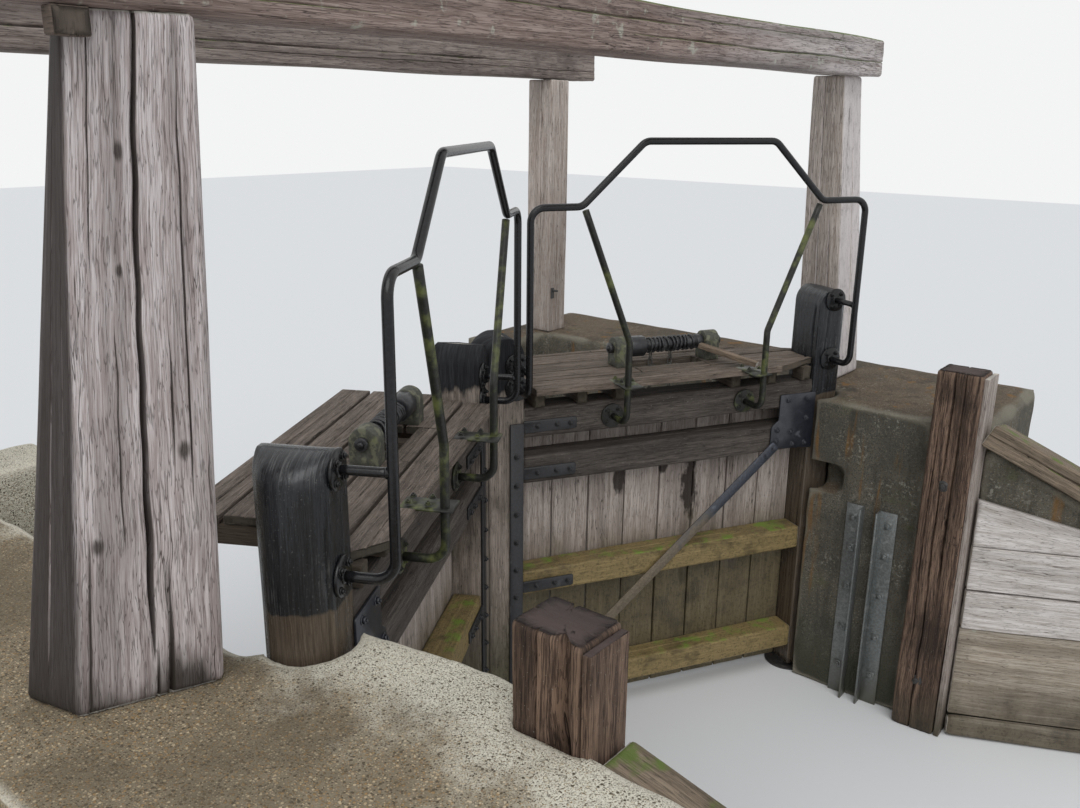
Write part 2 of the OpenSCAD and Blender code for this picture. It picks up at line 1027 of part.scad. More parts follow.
module near_stays() {
    color([0.20, 0.22, 0.14]) near_leaf() leaf_stays();
}

module far_stays() {
    color([0.20, 0.22, 0.14]) far_leaf() leaf_stays();
}

module near_blocks() {
    color([0.45, 0.43, 0.28]) near_leaf() leaf_blocks(near_block_u);
}

module far_blocks() {
    color([0.45, 0.43, 0.28]) far_leaf() leaf_blocks(far_block_u);
}

module near_barrel() {
    color([0.15, 0.15, 0.17]) near_leaf() barrel_solid(near_block_u);
}

module far_barrel() {
    color([0.15, 0.15, 0.17]) far_leaf() barrel_solid(far_block_u);
}

module far_handspike() {
    color([0.45, 0.38, 0.30]) far_leaf() handspike();
}

module near_chain() {
    color([0.45, 0.44, 0.42]) near_leaf() leaf_chain(near_block_u);
}

module far_chain() {
    color([0.45, 0.44, 0.42]) far_leaf() leaf_chain(far_block_u);
}

module near_paddle() {
    color([0.35, 0.28, 0.20]) near_leaf() leaf_paddle(near_block_u);
}

module far_paddle() {
    color([0.35, 0.28, 0.20]) far_leaf() leaf_paddle(far_block_u);
}

near_abutment();
far_abutment();
near_coping();
far_coping();
near_downstream_post();
far_downstream_post();
upstream_posts();
downstream_beam();
upstream_beam();
beam_cleats();
post_latches();
fender_posts();
wing_boards();
wing_caps();
plank_angles();
pintle_cups();
near_heel_post();
near_mitre_post();
near_rails();
near_boards();
near_mitre_strap();
near_heel_plate();
near_diagonal();
near_deck();
near_bearers();
near_handrail();
near_stays();
near_blocks();
near_barrel();
near_chain();
near_paddle();
far_heel_post();
far_mitre_post();
far_rails();
far_boards();
far_mitre_strap();
far_heel_plate();
far_diagonal();
far_deck();
far_bearers();
far_handrail();
far_stays();
far_blocks();
far_barrel();
far_handspike();
far_chain();
far_paddle();
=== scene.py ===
# %% [markdown]
# # A pair of timber mitre gates
# Two timber leaves close in a V against the water and hang on round heel posts in the hollow quoins of a
# small lock. Two oak portal frames stand over them and tube rails guard the walkways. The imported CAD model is
# the fixed frame. Every new piece is worked out in the same place, in metres.

import math

import bpy
import numpy as np
from mathutils import Matrix


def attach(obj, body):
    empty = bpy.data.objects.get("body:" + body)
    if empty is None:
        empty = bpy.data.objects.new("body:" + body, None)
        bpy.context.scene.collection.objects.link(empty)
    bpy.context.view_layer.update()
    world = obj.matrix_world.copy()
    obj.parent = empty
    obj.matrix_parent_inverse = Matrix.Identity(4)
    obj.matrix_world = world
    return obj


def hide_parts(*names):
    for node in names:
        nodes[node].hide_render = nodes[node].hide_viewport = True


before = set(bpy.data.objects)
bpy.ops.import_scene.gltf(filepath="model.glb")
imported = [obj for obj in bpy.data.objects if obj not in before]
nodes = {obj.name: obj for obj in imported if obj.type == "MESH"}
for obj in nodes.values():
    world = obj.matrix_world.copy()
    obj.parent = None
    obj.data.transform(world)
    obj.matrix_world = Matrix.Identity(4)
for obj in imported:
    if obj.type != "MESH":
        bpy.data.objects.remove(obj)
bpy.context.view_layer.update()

# %% [markdown]
# ## The places that everything shares
# A leaf is easiest to draw flat, so its pieces use their own axes: u runs from the heel post to the mitre
# post, v points downstream and z up. One function turns those into the frame, and the near leaf is the mirror
# of the far one.

# %% Sizes that the pieces share
PIVOT_X = 1.791
AXIS_Y = -0.28258
MITRE = math.radians(29.4)
COS, SIN = math.cos(MITRE), math.sin(MITRE)
COPING = 1.740
BEAM = 3.448
DECK = 1.952
FACE = 0.115
FAR, NEAR = 1, -1
SIDES = {FAR: "far", NEAR: "near"}


def leaf_place(points, side):
    """Leaf axes to frame: x = pivot - u cos - v sin, y = axis + u sin - v cos, and x changes sign on the near
    side."""
    p = np.asarray(points, float)
    x = PIVOT_X - p[..., 0] * COS - p[..., 1] * SIN
    y = AXIS_Y + p[..., 0] * SIN - p[..., 1] * COS
    return np.stack([side * x, y, p[..., 2]], -1)


def bank_place(points, side):
    """Bank axes to frame: x is the distance from the middle of the channel and y starts at the turning
    axes."""
    p = np.asarray(points, float)
    return np.stack([side * p[..., 0], AXIS_Y + p[..., 1], p[..., 2]], -1)


print("mitre point of the far leaf", leaf_place([2.05, 0, DECK], FAR).round(3))

# %% [markdown]
# ## Camera and light
# The camera stands where the photographer stood, on the near bank at eye height. Its place, turn and lens
# were solved from the posts, rails and beams. The light is a plain soft sky with one broad lamp, so that
# colours show as written.

# %% Camera
def shown(name, data):
    """A new object with its data, linked into the scene."""
    made = bpy.data.objects.new(name, data)
    bpy.context.scene.collection.objects.link(made)
    return made


yaw, pitch, roll = (math.radians(a) for a in (51.309, 16.634, 0.677))
ahead = np.array([math.sin(yaw) * math.cos(pitch), math.cos(yaw) * math.cos(pitch), -math.sin(pitch)])
level = np.array([math.cos(yaw), -math.sin(yaw), 0.0])
above = np.cross(level, ahead)
right = level * math.cos(roll) + above * math.sin(roll)
up = above * math.cos(roll) - level * math.sin(roll)
camera_data = bpy.data.cameras.new("photo_view")
camera_data.lens = 32.69
camera_data.sensor_width = 36.0
camera_data.clip_end = 100.0
camera = shown("photo_view", camera_data)
turn = Matrix([[right[i], up[i], -ahead[i], 0.0] for i in range(3)] + [[0, 0, 0, 1]])
camera.matrix_world = Matrix.Translation((-3.401, -2.4476, 3.247)) @ turn
bpy.context.scene.camera = camera
print("camera lens", camera_data.lens)

# %% Light
sun_data = bpy.data.lights.new("broad_sky_light", "SUN")
sun_data.energy = 1.25
sun_data.angle = math.radians(50)
sun = shown("broad_sky_light", sun_data)
sun.rotation_euler = (math.radians(38), math.radians(-14), math.radians(-32))
bpy.context.scene.view_settings.view_transform = "Standard"


def feed(tree, made, inputs):
    """Links each named input of a node to a socket, or sets it to a value."""
    for key, value in dict(inputs).items():
        if isinstance(value, bpy.types.NodeSocket):
            tree.links.new(value, made.inputs[key])
        else:
            made.inputs[key].default_value = value
    return made


def node(tree, kind, inputs=(), **settings):
    """One shader node with its settings and its inputs."""
    made = tree.nodes.new("ShaderNode" + kind)
    for key, value in settings.items():
        setattr(made, key, value)
    return feed(tree, made, inputs)


def plain_behind(tree, light, shown_colour):
    """Colour that lights the scene in one way and shows behind it in another, by the kind of ray."""
    rays = node(tree, "LightPath").outputs
    seen = node(tree, "Math", {0: rays["Is Camera Ray"], 1: rays["Is Glossy Ray"]},
                operation="MAXIMUM").outputs[0]
    seen = node(tree, "Math", {0: seen, 1: rays["Is Transmission Ray"]}, operation="MAXIMUM").outputs[0]
    return node(tree, "Mix", {0: seen, "A": light, "B": shown_colour}, data_type="RGBA").outputs["Result"]


world = bpy.data.worlds.new("studio")
bpy.context.scene.world = world
world.use_nodes = True
sky = world.node_tree
sky.nodes.clear()
sky_light = node(sky, "Background", {"Strength": 1.0})
node_out = sky.nodes.new("ShaderNodeOutputWorld")
sky.links.new(sky_light.outputs[0], node_out.inputs["Surface"])
CLEAR = (0.90, 0.905, 0.905, 1)
sky.links.new(plain_behind(sky, (0.60, 0.62, 0.65, 1), CLEAR), sky_light.inputs["Color"])
print("lamp strength", sun_data.energy)

# %% [markdown]
# ## Noise worked out with numpy
# Old timber and concrete are never flat. Value noise gives every point of a surface a smooth pseudo random
# height: the corners of a lattice get fixed random numbers, and a point takes a smooth mix of the eight
# corners round it.


# %% Noise
def lattice_value(cell, seed):
    """A fixed number between 0 and 1 for a lattice corner: the fraction of a large sine of its weighted
    place."""
    h = np.sin(cell[..., 0] * 127.1 + cell[..., 1] * 311.7 + cell[..., 2] * 74.7 + seed * 53.3) * 43758.5453
    return h - np.floor(h)


def noise(points, scale, seed=0.0):
    """Value noise from -1 to 1. scale is in cells a metre, one number or one for each axis."""
    p = np.asarray(points, float) * np.asarray(scale, float) + seed * 7.13
    cell = np.floor(p)
    t = p - cell
    t = t * t * (3 - 2 * t)
    total = np.zeros(p.shape[:-1])
    for corner in np.ndindex(2, 2, 2):
        weight = np.prod(np.where(np.array(corner) == 1, t, 1 - t), axis=-1)
        total += weight * lattice_value(cell + np.array(corner), seed)
    return total * 2 - 1


def layered(points, scale, seed=0.0, layers=3):
    """Noise on noise: each layer has twice the cells and half the height of the last."""
    scale = np.asarray(scale, float)
    return sum(noise(points, scale * 2**k, seed + k) * 0.5**k for k in range(layers))


print("noise sample", layered(np.zeros((1, 3)) + 0.3, 4).round(3))

# %% [markdown]
# ## Surfaces as grids
# Each piece is a grid of points: rings along a path, and points round each ring. The grid closes round itself
# and its two ends are drawn together to a middle point, so that every piece is a closed solid. A point also
# carries its place along the grain as a UV pair, and a number that says how far it lies on a cut end.


# %% Grids to parts
def part(points, quads=(), fans=(), uv=None, cut=None, polygons=()):
    """A part of a piece: points, faces of four and of three corners, a UV pair a corner and a cut mark a
    point."""
    quads = np.asarray(quads, int).reshape(-1, 4)
    fans = np.asarray(fans, int).reshape(-1, 3)
    points = np.asarray(points, float).reshape(-1, 3)
    if uv is None:
        order = np.concatenate([quads.ravel(), fans.ravel()] + [np.asarray(p, int) for p in polygons])
        uv = points[order][:, [0, 2]]
    if cut is None:
        cut = np.zeros(len(points))
    assert len(uv) == quads.size + fans.size + sum(len(p) for p in polygons)
    return {"points": points, "quads": quads, "fans": fans, "uv": uv, "cut": cut, "polygons": polygons}


def wrapped(grid, s, l, cut, closed_path=False):
    """A grid of rings by points round, closed round each ring. s has one more column than the grid: the UV
    across the seam. Open paths end in a fan to a middle point, and closed paths run on into their first
    ring."""
    rings, around = grid.shape[:2]
    i = np.arange(rings if closed_path else rings - 1)[:, None]
    j = np.arange(around)[None, :]
    i2, j2 = (i + 1) % rings, (j + 1) % around
    quads = np.stack([i * around + j, i * around + j2, i2 * around + j2, i2 * around + j], -1).reshape(-1, 4)
    corner_s = np.stack([s[i, j], s[i, j + 1], s[i2, j + 1], s[i2, j]], -1).reshape(-1)
    corner_l = np.stack([l[i, j], l[i, j + 1], l[i2, j + 1], l[i2, j]], -1).reshape(-1)
    uv = np.stack([corner_s, corner_l], -1)
    points = grid.reshape(-1, 3)
    fans = np.zeros((0, 3), int)
    if not closed_path:
        ends = np.stack([grid[0].mean(0), grid[-1].mean(0)])
        first, last = len(points), len(points) + 1
        points = np.concatenate([points, ends])
        k = np.arange(around)
        k2 = (k + 1) % around
        start = np.stack([np.full(around, first), k2, k], -1)
        stop = np.stack([np.full(around, last), (rings - 1) * around + k, (rings - 1) * around + k2], -1)
        fans = np.concatenate([start, stop])
        fan_uv = []
        for ring, order in ((0, (None, 1, 0)), (-1, (None, 0, 1))):
            mid = np.stack([s[ring].mean() + 0 * k, l[ring].mean() + 0 * k], -1)
            here = np.stack([s[ring][:-1], l[ring][:-1]], -1)
            nxt = np.stack([s[ring][1:], l[ring][1:]], -1)
            trio = [mid, nxt, here] if order[1] == 1 else [mid, here, nxt]
            fan_uv.append(np.stack(trio, 1).reshape(-1, 2))
        uv = np.concatenate([uv] + fan_uv)
        cut = np.concatenate([cut.reshape(-1), [1.0, 1.0]])
    return part(points, quads, fans, uv, cut.reshape(-1))


def placed(made, place, side):
    """A part made of a grid, put through a placing function. A mirrored part has the order of every face
    reversed, and its UV corners with it, so that its faces still look outwards."""
    made = {**made, "points": place(made["points"], side)}
    if side == FAR:
        return made
    quads, fans, uv = made["quads"], made["fans"], made["uv"]
    quad_uv = uv[:quads.size].reshape(-1, 4, 2)[:, ::-1].reshape(-1, 2)
    fan_uv = uv[quads.size:].reshape(-1, 3, 2)[:, ::-1].reshape(-1, 2)
    return {**made, "uv": np.concatenate([quad_uv, fan_uv]), "quads": quads[:, ::-1], "fans": fans[:, ::-1]}


# %% Parts to a piece
def dressed(name, mesh, cut, material, body, hides):
    """Shows a mesh with its cut marks and its material, and lets it ride on a body."""
    mark = mesh.attributes.new("cut", "FLOAT", "POINT")
    mark.data.foreach_set("value", cut.astype(np.float32))
    mesh.polygons.foreach_set("use_smooth", np.ones(len(mesh.polygons), bool))
    mesh.materials.clear()
    mesh.materials.append(material)
    made = shown(name, mesh)
    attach(made, body)
    if hides:
        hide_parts(*hides)
    print(name, len(mesh.polygons), "faces")


def piece(name, parts, material, body, hides):
    """Joins parts into one mesh object, with its UV map."""
    start, at, loops, starts = 0, 0, [], []
    for made in parts:
        for block in (made["quads"], made["fans"]):
            loops.append((block + start).ravel())
            starts.append(at + np.arange(len(block)) * block.shape[1])
            at += block.size
        for polygon in made["polygons"]:
            loops.append(np.asarray(polygon) + start)
            starts.append(np.array([at]))
            at += len(polygon)
        start += len(made["points"])
    points, uv, cut = (np.concatenate([made[key] for made in parts]) for key in ("points", "uv", "cut"))
    mesh = bpy.data.meshes.new(name)
    mesh.vertices.add(len(points))
    mesh.vertices.foreach_set("co", points.astype(np.float32).ravel())
    mesh.loops.add(at)
    mesh.loops.foreach_set("vertex_index", np.concatenate(loops).astype(np.int32))
    begins = np.concatenate(starts)
    mesh.polygons.add(len(begins))
    mesh.polygons.foreach_set("loop_start", begins.astype(np.int32))
    mesh.update(calc_edges=True)
    mesh.uv_layers.new(name="grain").data.foreach_set("uv", uv.astype(np.float32).ravel())
    mesh.validate()
    dressed(name, mesh, cut, material, body, hides)


# %% [markdown]
# ## Timber
# A sawn timber is a rounded rectangle carried along a line. Weather wears it into ridges along the grain, and
# as it dries it splits from the outside: the splits, called checks, run along the grain, wander, and taper
# away at both ends. The ridges are noise stretched along the grain. A check is a groove whose centre wanders,
# with extra points beside it.


# %% Timber parts
def outline(w, d, r, where):
    """Points on a rectangle w by d with corners of radius r. where is 0 to 4: face 0 looks along +across,
    face 1 along +deep, face 2 along -across and face 3 along -deep. Gives place and outward normal."""
    where = np.asarray(where, float) % 4
    face = np.floor(where)
    t = where - face
    half_a = np.where(face % 2 == 0, d / 2, w / 2)
    half_n = np.where(face % 2 == 0, w / 2, d / 2)
    along = (t * 2 - 1) * half_a
    over = np.clip((np.abs(along) - (half_a - r)) / r, 0, 1)
    angle = over * math.pi / 4 * np.sign(along)
    flat = np.clip(along, -(half_a - r), half_a - r)
    local_a = flat + r * np.sin(angle)
    local_n = half_n - r + r * np.cos(angle)
    turn = face * math.pi / 2
    x = local_n * np.cos(turn) - local_a * np.sin(turn)
    y = local_n * np.sin(turn) + local_a * np.cos(turn)
    nx = np.cos(turn + angle)
    ny = np.sin(turn + angle)
    return x, y, nx, ny


def round_samples(around, w, d, r, dense):
    """Places round the outline: even steps on each face, three at each corner, and extra ones beside each
    check."""
    steps = []
    for face in range(4):
        length = d if face % 2 == 0 else w
        count = max(3, int(round(around * length / (2 * (w + d)))))
        edge = min(0.3, r / length)
        inner = np.linspace(edge, 1 - edge, count)
        corner = [0.0, edge * 0.4, edge * 0.75]
        steps.append(face + np.concatenate([corner, inner, [1 - edge * 0.75, 1 - edge * 0.4]]))
    for centre, width in dense:
        steps.append(centre + np.linspace(-2.2, 2.2, 9) * width)
    every = np.sort(np.concatenate(steps) % 4)
    return every[np.concatenate([[True], np.diff(every) > 1e-4])]


ROUND_SHARE, RING_SHARE = 0.7, 0.45
CAP_STEPS = (0.0, 0.55, 0.93, 0.99)
CHECK_TAPER = 0.12


def timber(start, end, across, w, d, *, rings=40, around=40, radius=0.006, seed=1.0, ridge=0.0012, waney=0.0,
           checks=(), slant=0.0):
    """A timber from start to end. across is the direction of w, and d is square to it and to the length.
    Ridges: noise with 38 cells a metre across the grain and 2 along it. Waney: broad noise, 5 by 1.2 cells a
    metre. rings and around are counts on a fine timber, and the two shares of them keep the object under a
    million triangles. A check (face place, from, to, width, depth, wander) digs exp(-(distance / width)^2)
    deep, tapered to its ends. slant moves the start along the length by that share of the distance across,
    for a mitred end."""
    start, end = np.asarray(start, float), np.asarray(end, float)
    length = np.linalg.norm(end - start)
    axis = (end - start) / length
    across = np.asarray(across, float) - axis * np.dot(across, axis)
    across /= np.linalg.norm(across)
    deep = np.cross(axis, across)
    radius = min(radius, w * 0.45, d * 0.45)
    dense = [(c[0], c[3] / (d if int(c[0]) % 2 == 0 else w)) for c in checks]
    where = round_samples(max(14, round(around * ROUND_SHARE)), w, d, radius, dense)
    t = np.linspace(0, 1, max(9, round(rings * RING_SHARE)))
    lip = min(0.35, radius / length)
    inner = t[(t > lip) & (t < 1 - lip)]
    ring_t = np.concatenate([np.zeros(4), [lip * 0.35, lip], inner, [1 - lip, 1 - lip * 0.35], np.ones(4)])
    shrink = np.ones(len(ring_t))
    shrink[:4] = CAP_STEPS
    shrink[-4:] = CAP_STEPS[::-1]
    inset = np.zeros(len(ring_t))
    inset[[3, -4]] = radius * 0.7
    inset[[4, -5]] = radius * 0.2
    T, S = np.meshgrid(ring_t, where, indexing="ij")
    drift, groove = np.zeros_like(S), np.zeros_like(S)
    for number, (centre, t0, t1, width, depth, wander) in enumerate(checks):
        face_len = d if int(centre) % 2 == 0 else w
        line = np.stack([T * length, np.full_like(T, number * 3.7), np.full_like(T, seed)], -1)
        sway = noise(line, (2.1, 1, 1), seed + number) + 0.5 * noise(line, (9.0, 1, 1), seed + number + 5)
        drift += np.exp(-(((S - centre) / 0.35) ** 2)) * wander * 0.3 * sway / face_len
        taper = np.clip((T - t0) / CHECK_TAPER, 0, 1) if t0 > 0 else 1.0
        taper = taper * (np.clip((t1 - T) / CHECK_TAPER, 0, 1) if t1 < 1 else 1.0)
        taper = np.clip(taper * (0.75 + 0.5 * noise(line, (5.0, 1, 1), seed + number + 2)), 0, 1)
        width_now = width / face_len * 0.72 * (0.45 + 0.55 * taper)
        groove += depth * taper * np.exp(-(((S - centre) / width_now) ** 2))
    X, Y, NX, NY = outline(w, d, radius, S + drift)
    along = T * length
    grain = np.stack([X + seed, Y - seed, along * 0.055 + seed * 3], -1)
    broad = np.stack([X + seed * 2, Y, along * 0.25 + seed], -1)
    out = ridge * layered(grain, 38, seed, 2) + waney * noise(broad, 5, seed + 9) - groove
    out = out * np.clip(shrink * 2 - 1, 0, 1)[:, None] ** 2 - inset[:, None]
    X = X * shrink[:, None] + NX * out
    Y = Y * shrink[:, None] + NY * out
    along = along + X * slant * (1 - T)
    cap = (shrink < 0.97)[:, None]
    rough_end = 0.0012 * noise(np.stack([X, Y, T * 9 + seed], -1), 55, seed + 3) * cap
    along = along + np.where(T < 0.5, rough_end, -rough_end)
    grid = start + along[..., None] * axis + X[..., None] * across + Y[..., None] * deep
    s_row = np.interp(np.append(where, where[0] + 4), np.arange(6), np.cumsum([0, d, w, d, w, d]))
    s = np.repeat(s_row[None], len(ring_t), 0) + seed * 0.37
    l = np.repeat((ring_t * length)[:, None], len(s_row), 1) + seed * 1.91
    s = np.where(cap, np.concatenate([X, X[:, :1]], 1) + seed, s)
    l = np.where(cap, np.concatenate([Y, Y[:, :1]], 1) + seed * 2, l)
    return wrapped(grid, s, l, np.repeat((shrink < 0.995).astype(float)[:, None], len(where), 1))


print("outline test", np.round(outline(0.2, 0.1, 0.01, [0, 0.5, 1.0, 1.5]), 3).tolist())

# %% [markdown]
# ## Round bar, turned parts, plates and bolts
# Tube rails are a circle carried along a path that is rounded at its corners. Flanges, washers and barrels
# are a profile turned about an axis. Flat iron is an outline with a small bevel.


# %% Tubes and turned parts
def rounded_path(corners, radius, step=0.012):
    """The polyline with each inner corner replaced by an arc that touches both sides, as points a step
    apart."""
    corners = np.asarray(corners, float)
    out = [corners[:1]]
    last = corners[0]
    for before, here, after in zip(corners[:-2], corners[1:-1], corners[2:]):
        a = (here - before) / np.linalg.norm(here - before)
        b = (after - here) / np.linalg.norm(after - here)
        angle = math.acos(np.clip(np.dot(a, b), -1, 1))
        reach = radius * math.tan(angle / 2)
        p0, p1 = here - a * reach, here + b * reach
        inward = (b - a) / np.linalg.norm(b - a)
        centre = here + inward * radius / math.cos(angle / 2)
        count = max(3, int(angle * radius / step) + 2)
        turn = np.linspace(0, angle, count)[:, None]
        side = (p0 - centre) / radius
        arc = centre + radius * (np.cos(turn) * side + np.sin(turn) * a)
        run = max(2, int(np.linalg.norm(p0 - last) / 0.06))
        out.append(last + (p0 - last) * np.linspace(0, 1, run + 1)[1:, None][:-1])
        out.append(arc)
        last = p1
    run = max(2, int(np.linalg.norm(corners[-1] - last) / 0.06))
    out.append(last + (corners[-1] - last) * np.linspace(0, 1, run + 1)[1:, None])
    return np.concatenate(out)


def tube(path, radius, around=20, closed=False):
    """A circle carried along a path: the cross directions turn from each step to the next by the least
    angle."""
    path = np.asarray(path, float)
    ahead_dir = np.roll(path, -1, 0) - np.roll(path, 1, 0)
    if not closed:
        ahead_dir[0], ahead_dir[-1] = path[1] - path[0], path[-1] - path[-2]
    ahead_dir /= np.linalg.norm(ahead_dir, axis=1)[:, None]
    first = np.cross(ahead_dir[0], [0.31, 0.17, 0.93])
    sides = [first / np.linalg.norm(first)]
    for direction in ahead_dir[1:]:
        side = sides[-1] - direction * np.dot(sides[-1], direction)
        sides.append(side / np.linalg.norm(side))
    sides = np.array(sides)
    if closed:
        held = sides.mean(0) if np.linalg.norm(sides.mean(0)) > 0.5 else sides
        sides = np.cross(np.cross(ahead_dir, held), ahead_dir)
        sides /= np.linalg.norm(sides, axis=1)[:, None]
    ups = np.cross(ahead_dir, sides)
    angle = np.linspace(0, 2 * math.pi, around, endpoint=False)
    circle = np.cos(angle)[None, :, None] * sides[:, None] + np.sin(angle)[None, :, None] * ups[:, None]
    radii = np.broadcast_to(np.asarray(radius, float), (len(path),))[:, None, None]
    grid = path[:, None] + circle * radii
    run = np.concatenate([[0], np.cumsum(np.linalg.norm(np.diff(path, axis=0), axis=1))])
    s = np.repeat((np.append(angle, 2 * math.pi) * float(np.mean(radii)))[None], len(path), 0)
    return wrapped(grid, s, np.repeat(run[:, None], around + 1, 1), np.zeros(grid.shape[:2]), closed)


TIP = 1e-3


def turned_part(profile, origin, axis, around=24, turn=0.0):
    """A profile of (radius, height) pairs turned about an axis. The first and last pairs close to the
    axis."""
    axis = np.asarray(axis, float) / np.linalg.norm(axis)
    side = np.cross(axis, [0.0, 0.0, 1.0] if abs(axis[2]) < 0.9 else [1.0, 0.0, 0.0])
    side /= np.linalg.norm(side)
    other = np.cross(axis, side)
    r, h = np.asarray(profile, float).T
    angle = np.linspace(0, 2 * math.pi, around, endpoint=False) + turn
    circle = np.cos(angle)[:, None] * side + np.sin(angle)[:, None] * other
    grid = np.asarray(origin, float) + h[:, None, None] * axis + r[:, None, None] * circle[None]
    s = np.repeat((np.append(angle, angle[0] + 2 * math.pi) * r.max())[None], len(r), 0)
    run = np.concatenate([[0], np.cumsum(np.hypot(np.diff(r), np.diff(h)))])
    return wrapped(grid, s, np.repeat(run[:, None], around + 1, 1), np.zeros(grid.shape[:2]))


def bevelled(radius, height, bevel):
    """Profile of a disc with a small bevel at both rims."""
    rim = [(radius - bevel, 0), (radius, bevel), (radius, height - bevel), (radius - bevel, height)]
    return [(TIP, 0)] + rim + [(TIP, height)]


def plate(outline_points, origin, x_dir, y_dir, thick, bevel=0.0015):
    """Flat iron: an outline in its own x and y, raised by thick along x cross y, with its front rim
    bevelled."""
    pts = np.asarray(outline_points, float)
    x_dir, y_dir = np.asarray(x_dir, float), np.asarray(y_dir, float)
    z_dir = np.cross(x_dir, y_dir)
    before, after = np.roll(pts, 1, 0), np.roll(pts, -1, 0)
    e0 = (pts - before) / np.linalg.norm(pts - before, axis=1)[:, None]
    e1 = (after - pts) / np.linalg.norm(after - pts, axis=1)[:, None]
    n0, n1 = np.stack([e0[:, 1], -e0[:, 0]], -1), np.stack([e1[:, 1], -e1[:, 0]], -1)
    inner = pts - (n0 + n1) / np.maximum(1 + (n0 * n1).sum(1), 0.3)[:, None] * bevel
    layers = [(inner, 0.0), (pts, bevel), (pts, thick - bevel), (inner, thick)]
    n = len(pts)
    points = [np.asarray(origin) + p[:, :1] * x_dir + p[:, 1:] * y_dir + h * z_dir for p, h in layers]
    j = np.arange(n)
    j2 = (j + 1) % n
    quads = [np.stack([k * n + j, k * n + j2, (k + 1) * n + j2, (k + 1) * n + j], -1) for k in range(3)]
    ends = [list(range(n))[::-1], list(range(3 * n, 4 * n))]
    return part(np.concatenate(points), np.concatenate(quads), polygons=ends)


def bar(x0, x1, y0, y1):
    """Outline of a rectangle, counter clockwise."""
    return [(x0, y0), (x1, y0), (x1, y1), (x0, y1)]


def bolt(at, axis, size, washer, square=False):
    """A hexagon nut on its washer with the bolt's end standing out, size across the flats over two."""
    parts = []
    if washer:
        around, reach = (4, washer * 1.414) if square else (16, washer)
        parts.append(turned_part(bevelled(reach, 0.004, 0.001), at, axis, around, math.pi / 4))
    h = size * 0.9
    nut = [(TIP, 0), (size * 1.15, 0), (size * 1.15, h * 0.85), (size * 0.95, h), (TIP, h)]
    shank = [(TIP, 0), (size * 0.5, 0), (size * 0.5, h * 0.5), (size * 0.4, h * 0.6), (TIP, h * 0.62)]
    base = np.asarray(at) + np.asarray(axis) * 0.004
    return parts + [turned_part(nut, base, axis, 6), turned_part(shank, base + np.asarray(axis) * h, axis,
                                                                 10)]


print("rounded path", len(rounded_path([(0, 0, 0), (0, 0, 1), (1, 0, 1)], 0.1)), "points")

# %% [markdown]
# ## Materials
# Four shader groups carry what the surfaces share: the grain of timber, patches for stains and growth, the
# green and dark zone near the water, and the speckle of worn concrete. Each material mixes its own colours
# from their masks.


# %% Shader groups
def group(name, inputs, outputs):
    """An empty shader group. Inputs are names with a default, or with None for a vector, and outputs are
    floats."""
    made = bpy.data.node_groups.new(name, "ShaderNodeTree")
    for label, default in inputs.items():
        kind = "NodeSocketVector" if default is None else "NodeSocketFloat"
        socket = made.interface.new_socket(label, in_out="INPUT", socket_type=kind)
        if default is not None:
            socket.default_value = default
    for label in outputs:
        made.interface.new_socket(label, in_out="OUTPUT", socket_type="NodeSocketFloat")
    return made, made.nodes.new("NodeGroupInput").outputs, made.nodes.new("NodeGroupOutput")


def ramp(tree, value, low, high, out_low=0.0, out_high=1.0):
    """Maps a value from the range low to high to 0 to 1, smoothly, and clamps it."""
    inputs = {0: value, 1: low, 2: high, 3: out_low, 4: out_high}
    return node(tree, "MapRange", inputs, interpolation_type="SMOOTHSTEP").outputs[0]


def mix(tree, share, first, second):
    """A mix of two colours, each a socket or three numbers."""
    first, second = (c if isinstance(c, bpy.types.NodeSocket) else (*c, 1.0) for c in (first, second))
    return node(tree, "Mix", {0: share, "A": first, "B": second}, data_type="RGBA").outputs["Result"]


def maths(tree, operation, first, second=0.0):
    return node(tree, "Math", {0: first, 1: second}, operation=operation).outputs[0]


def times(tree, first, second):
    return maths(tree, "MULTIPLY", first, second)


def over(tree, base, mask, share, tint):
    """A colour with a tint laid over it where the mask says, and no more than the share of it."""
    return mix(tree, times(tree, mask, share), base, tint)


def shade(tint, share):
    return [channel * share for channel in tint]


def ragged(tree, value, wave, amount):
    """A value with a wave added, which swings round one half and is scaled by the amount."""
    return maths(tree, "ADD", value, times(tree, maths(tree, "SUBTRACT", wave, 0.5), amount))


def vector(tree, operation, first, second):
    return node(tree, "VectorMath", {0: first, 1: second}, operation=operation).outputs[0]


def scaled(tree, place, scale, offset=None):
    made = vector(tree, "MULTIPLY", place, scale)
    return made if offset is None else vector(tree, "ADD", made, offset)


def apart(tree, place, centre, scale):
    """The distance from a centre, with each direction scaled."""
    off = scaled(tree, vector(tree, "SUBTRACT", place, centre), scale)
    return node(tree, "VectorMath", {0: off}, operation="LENGTH").outputs["Value"]


def along_axis(tree, place, number):
    return node(tree, "SeparateXYZ", {0: place}).outputs[number]


def speckle(tree, place, scale, detail=3.0, rough=0.55):
    inputs = {"Vector": place, "Scale": scale, "Detail": detail, "Roughness": rough}
    return node(tree, "TexNoise", inputs).outputs[0]


def near_half(tree, value, middle):
    """How far a value is from a middle: thin lines where the value crosses it."""
    return maths(tree, "ABSOLUTE", maths(tree, "SUBTRACT", value, middle))


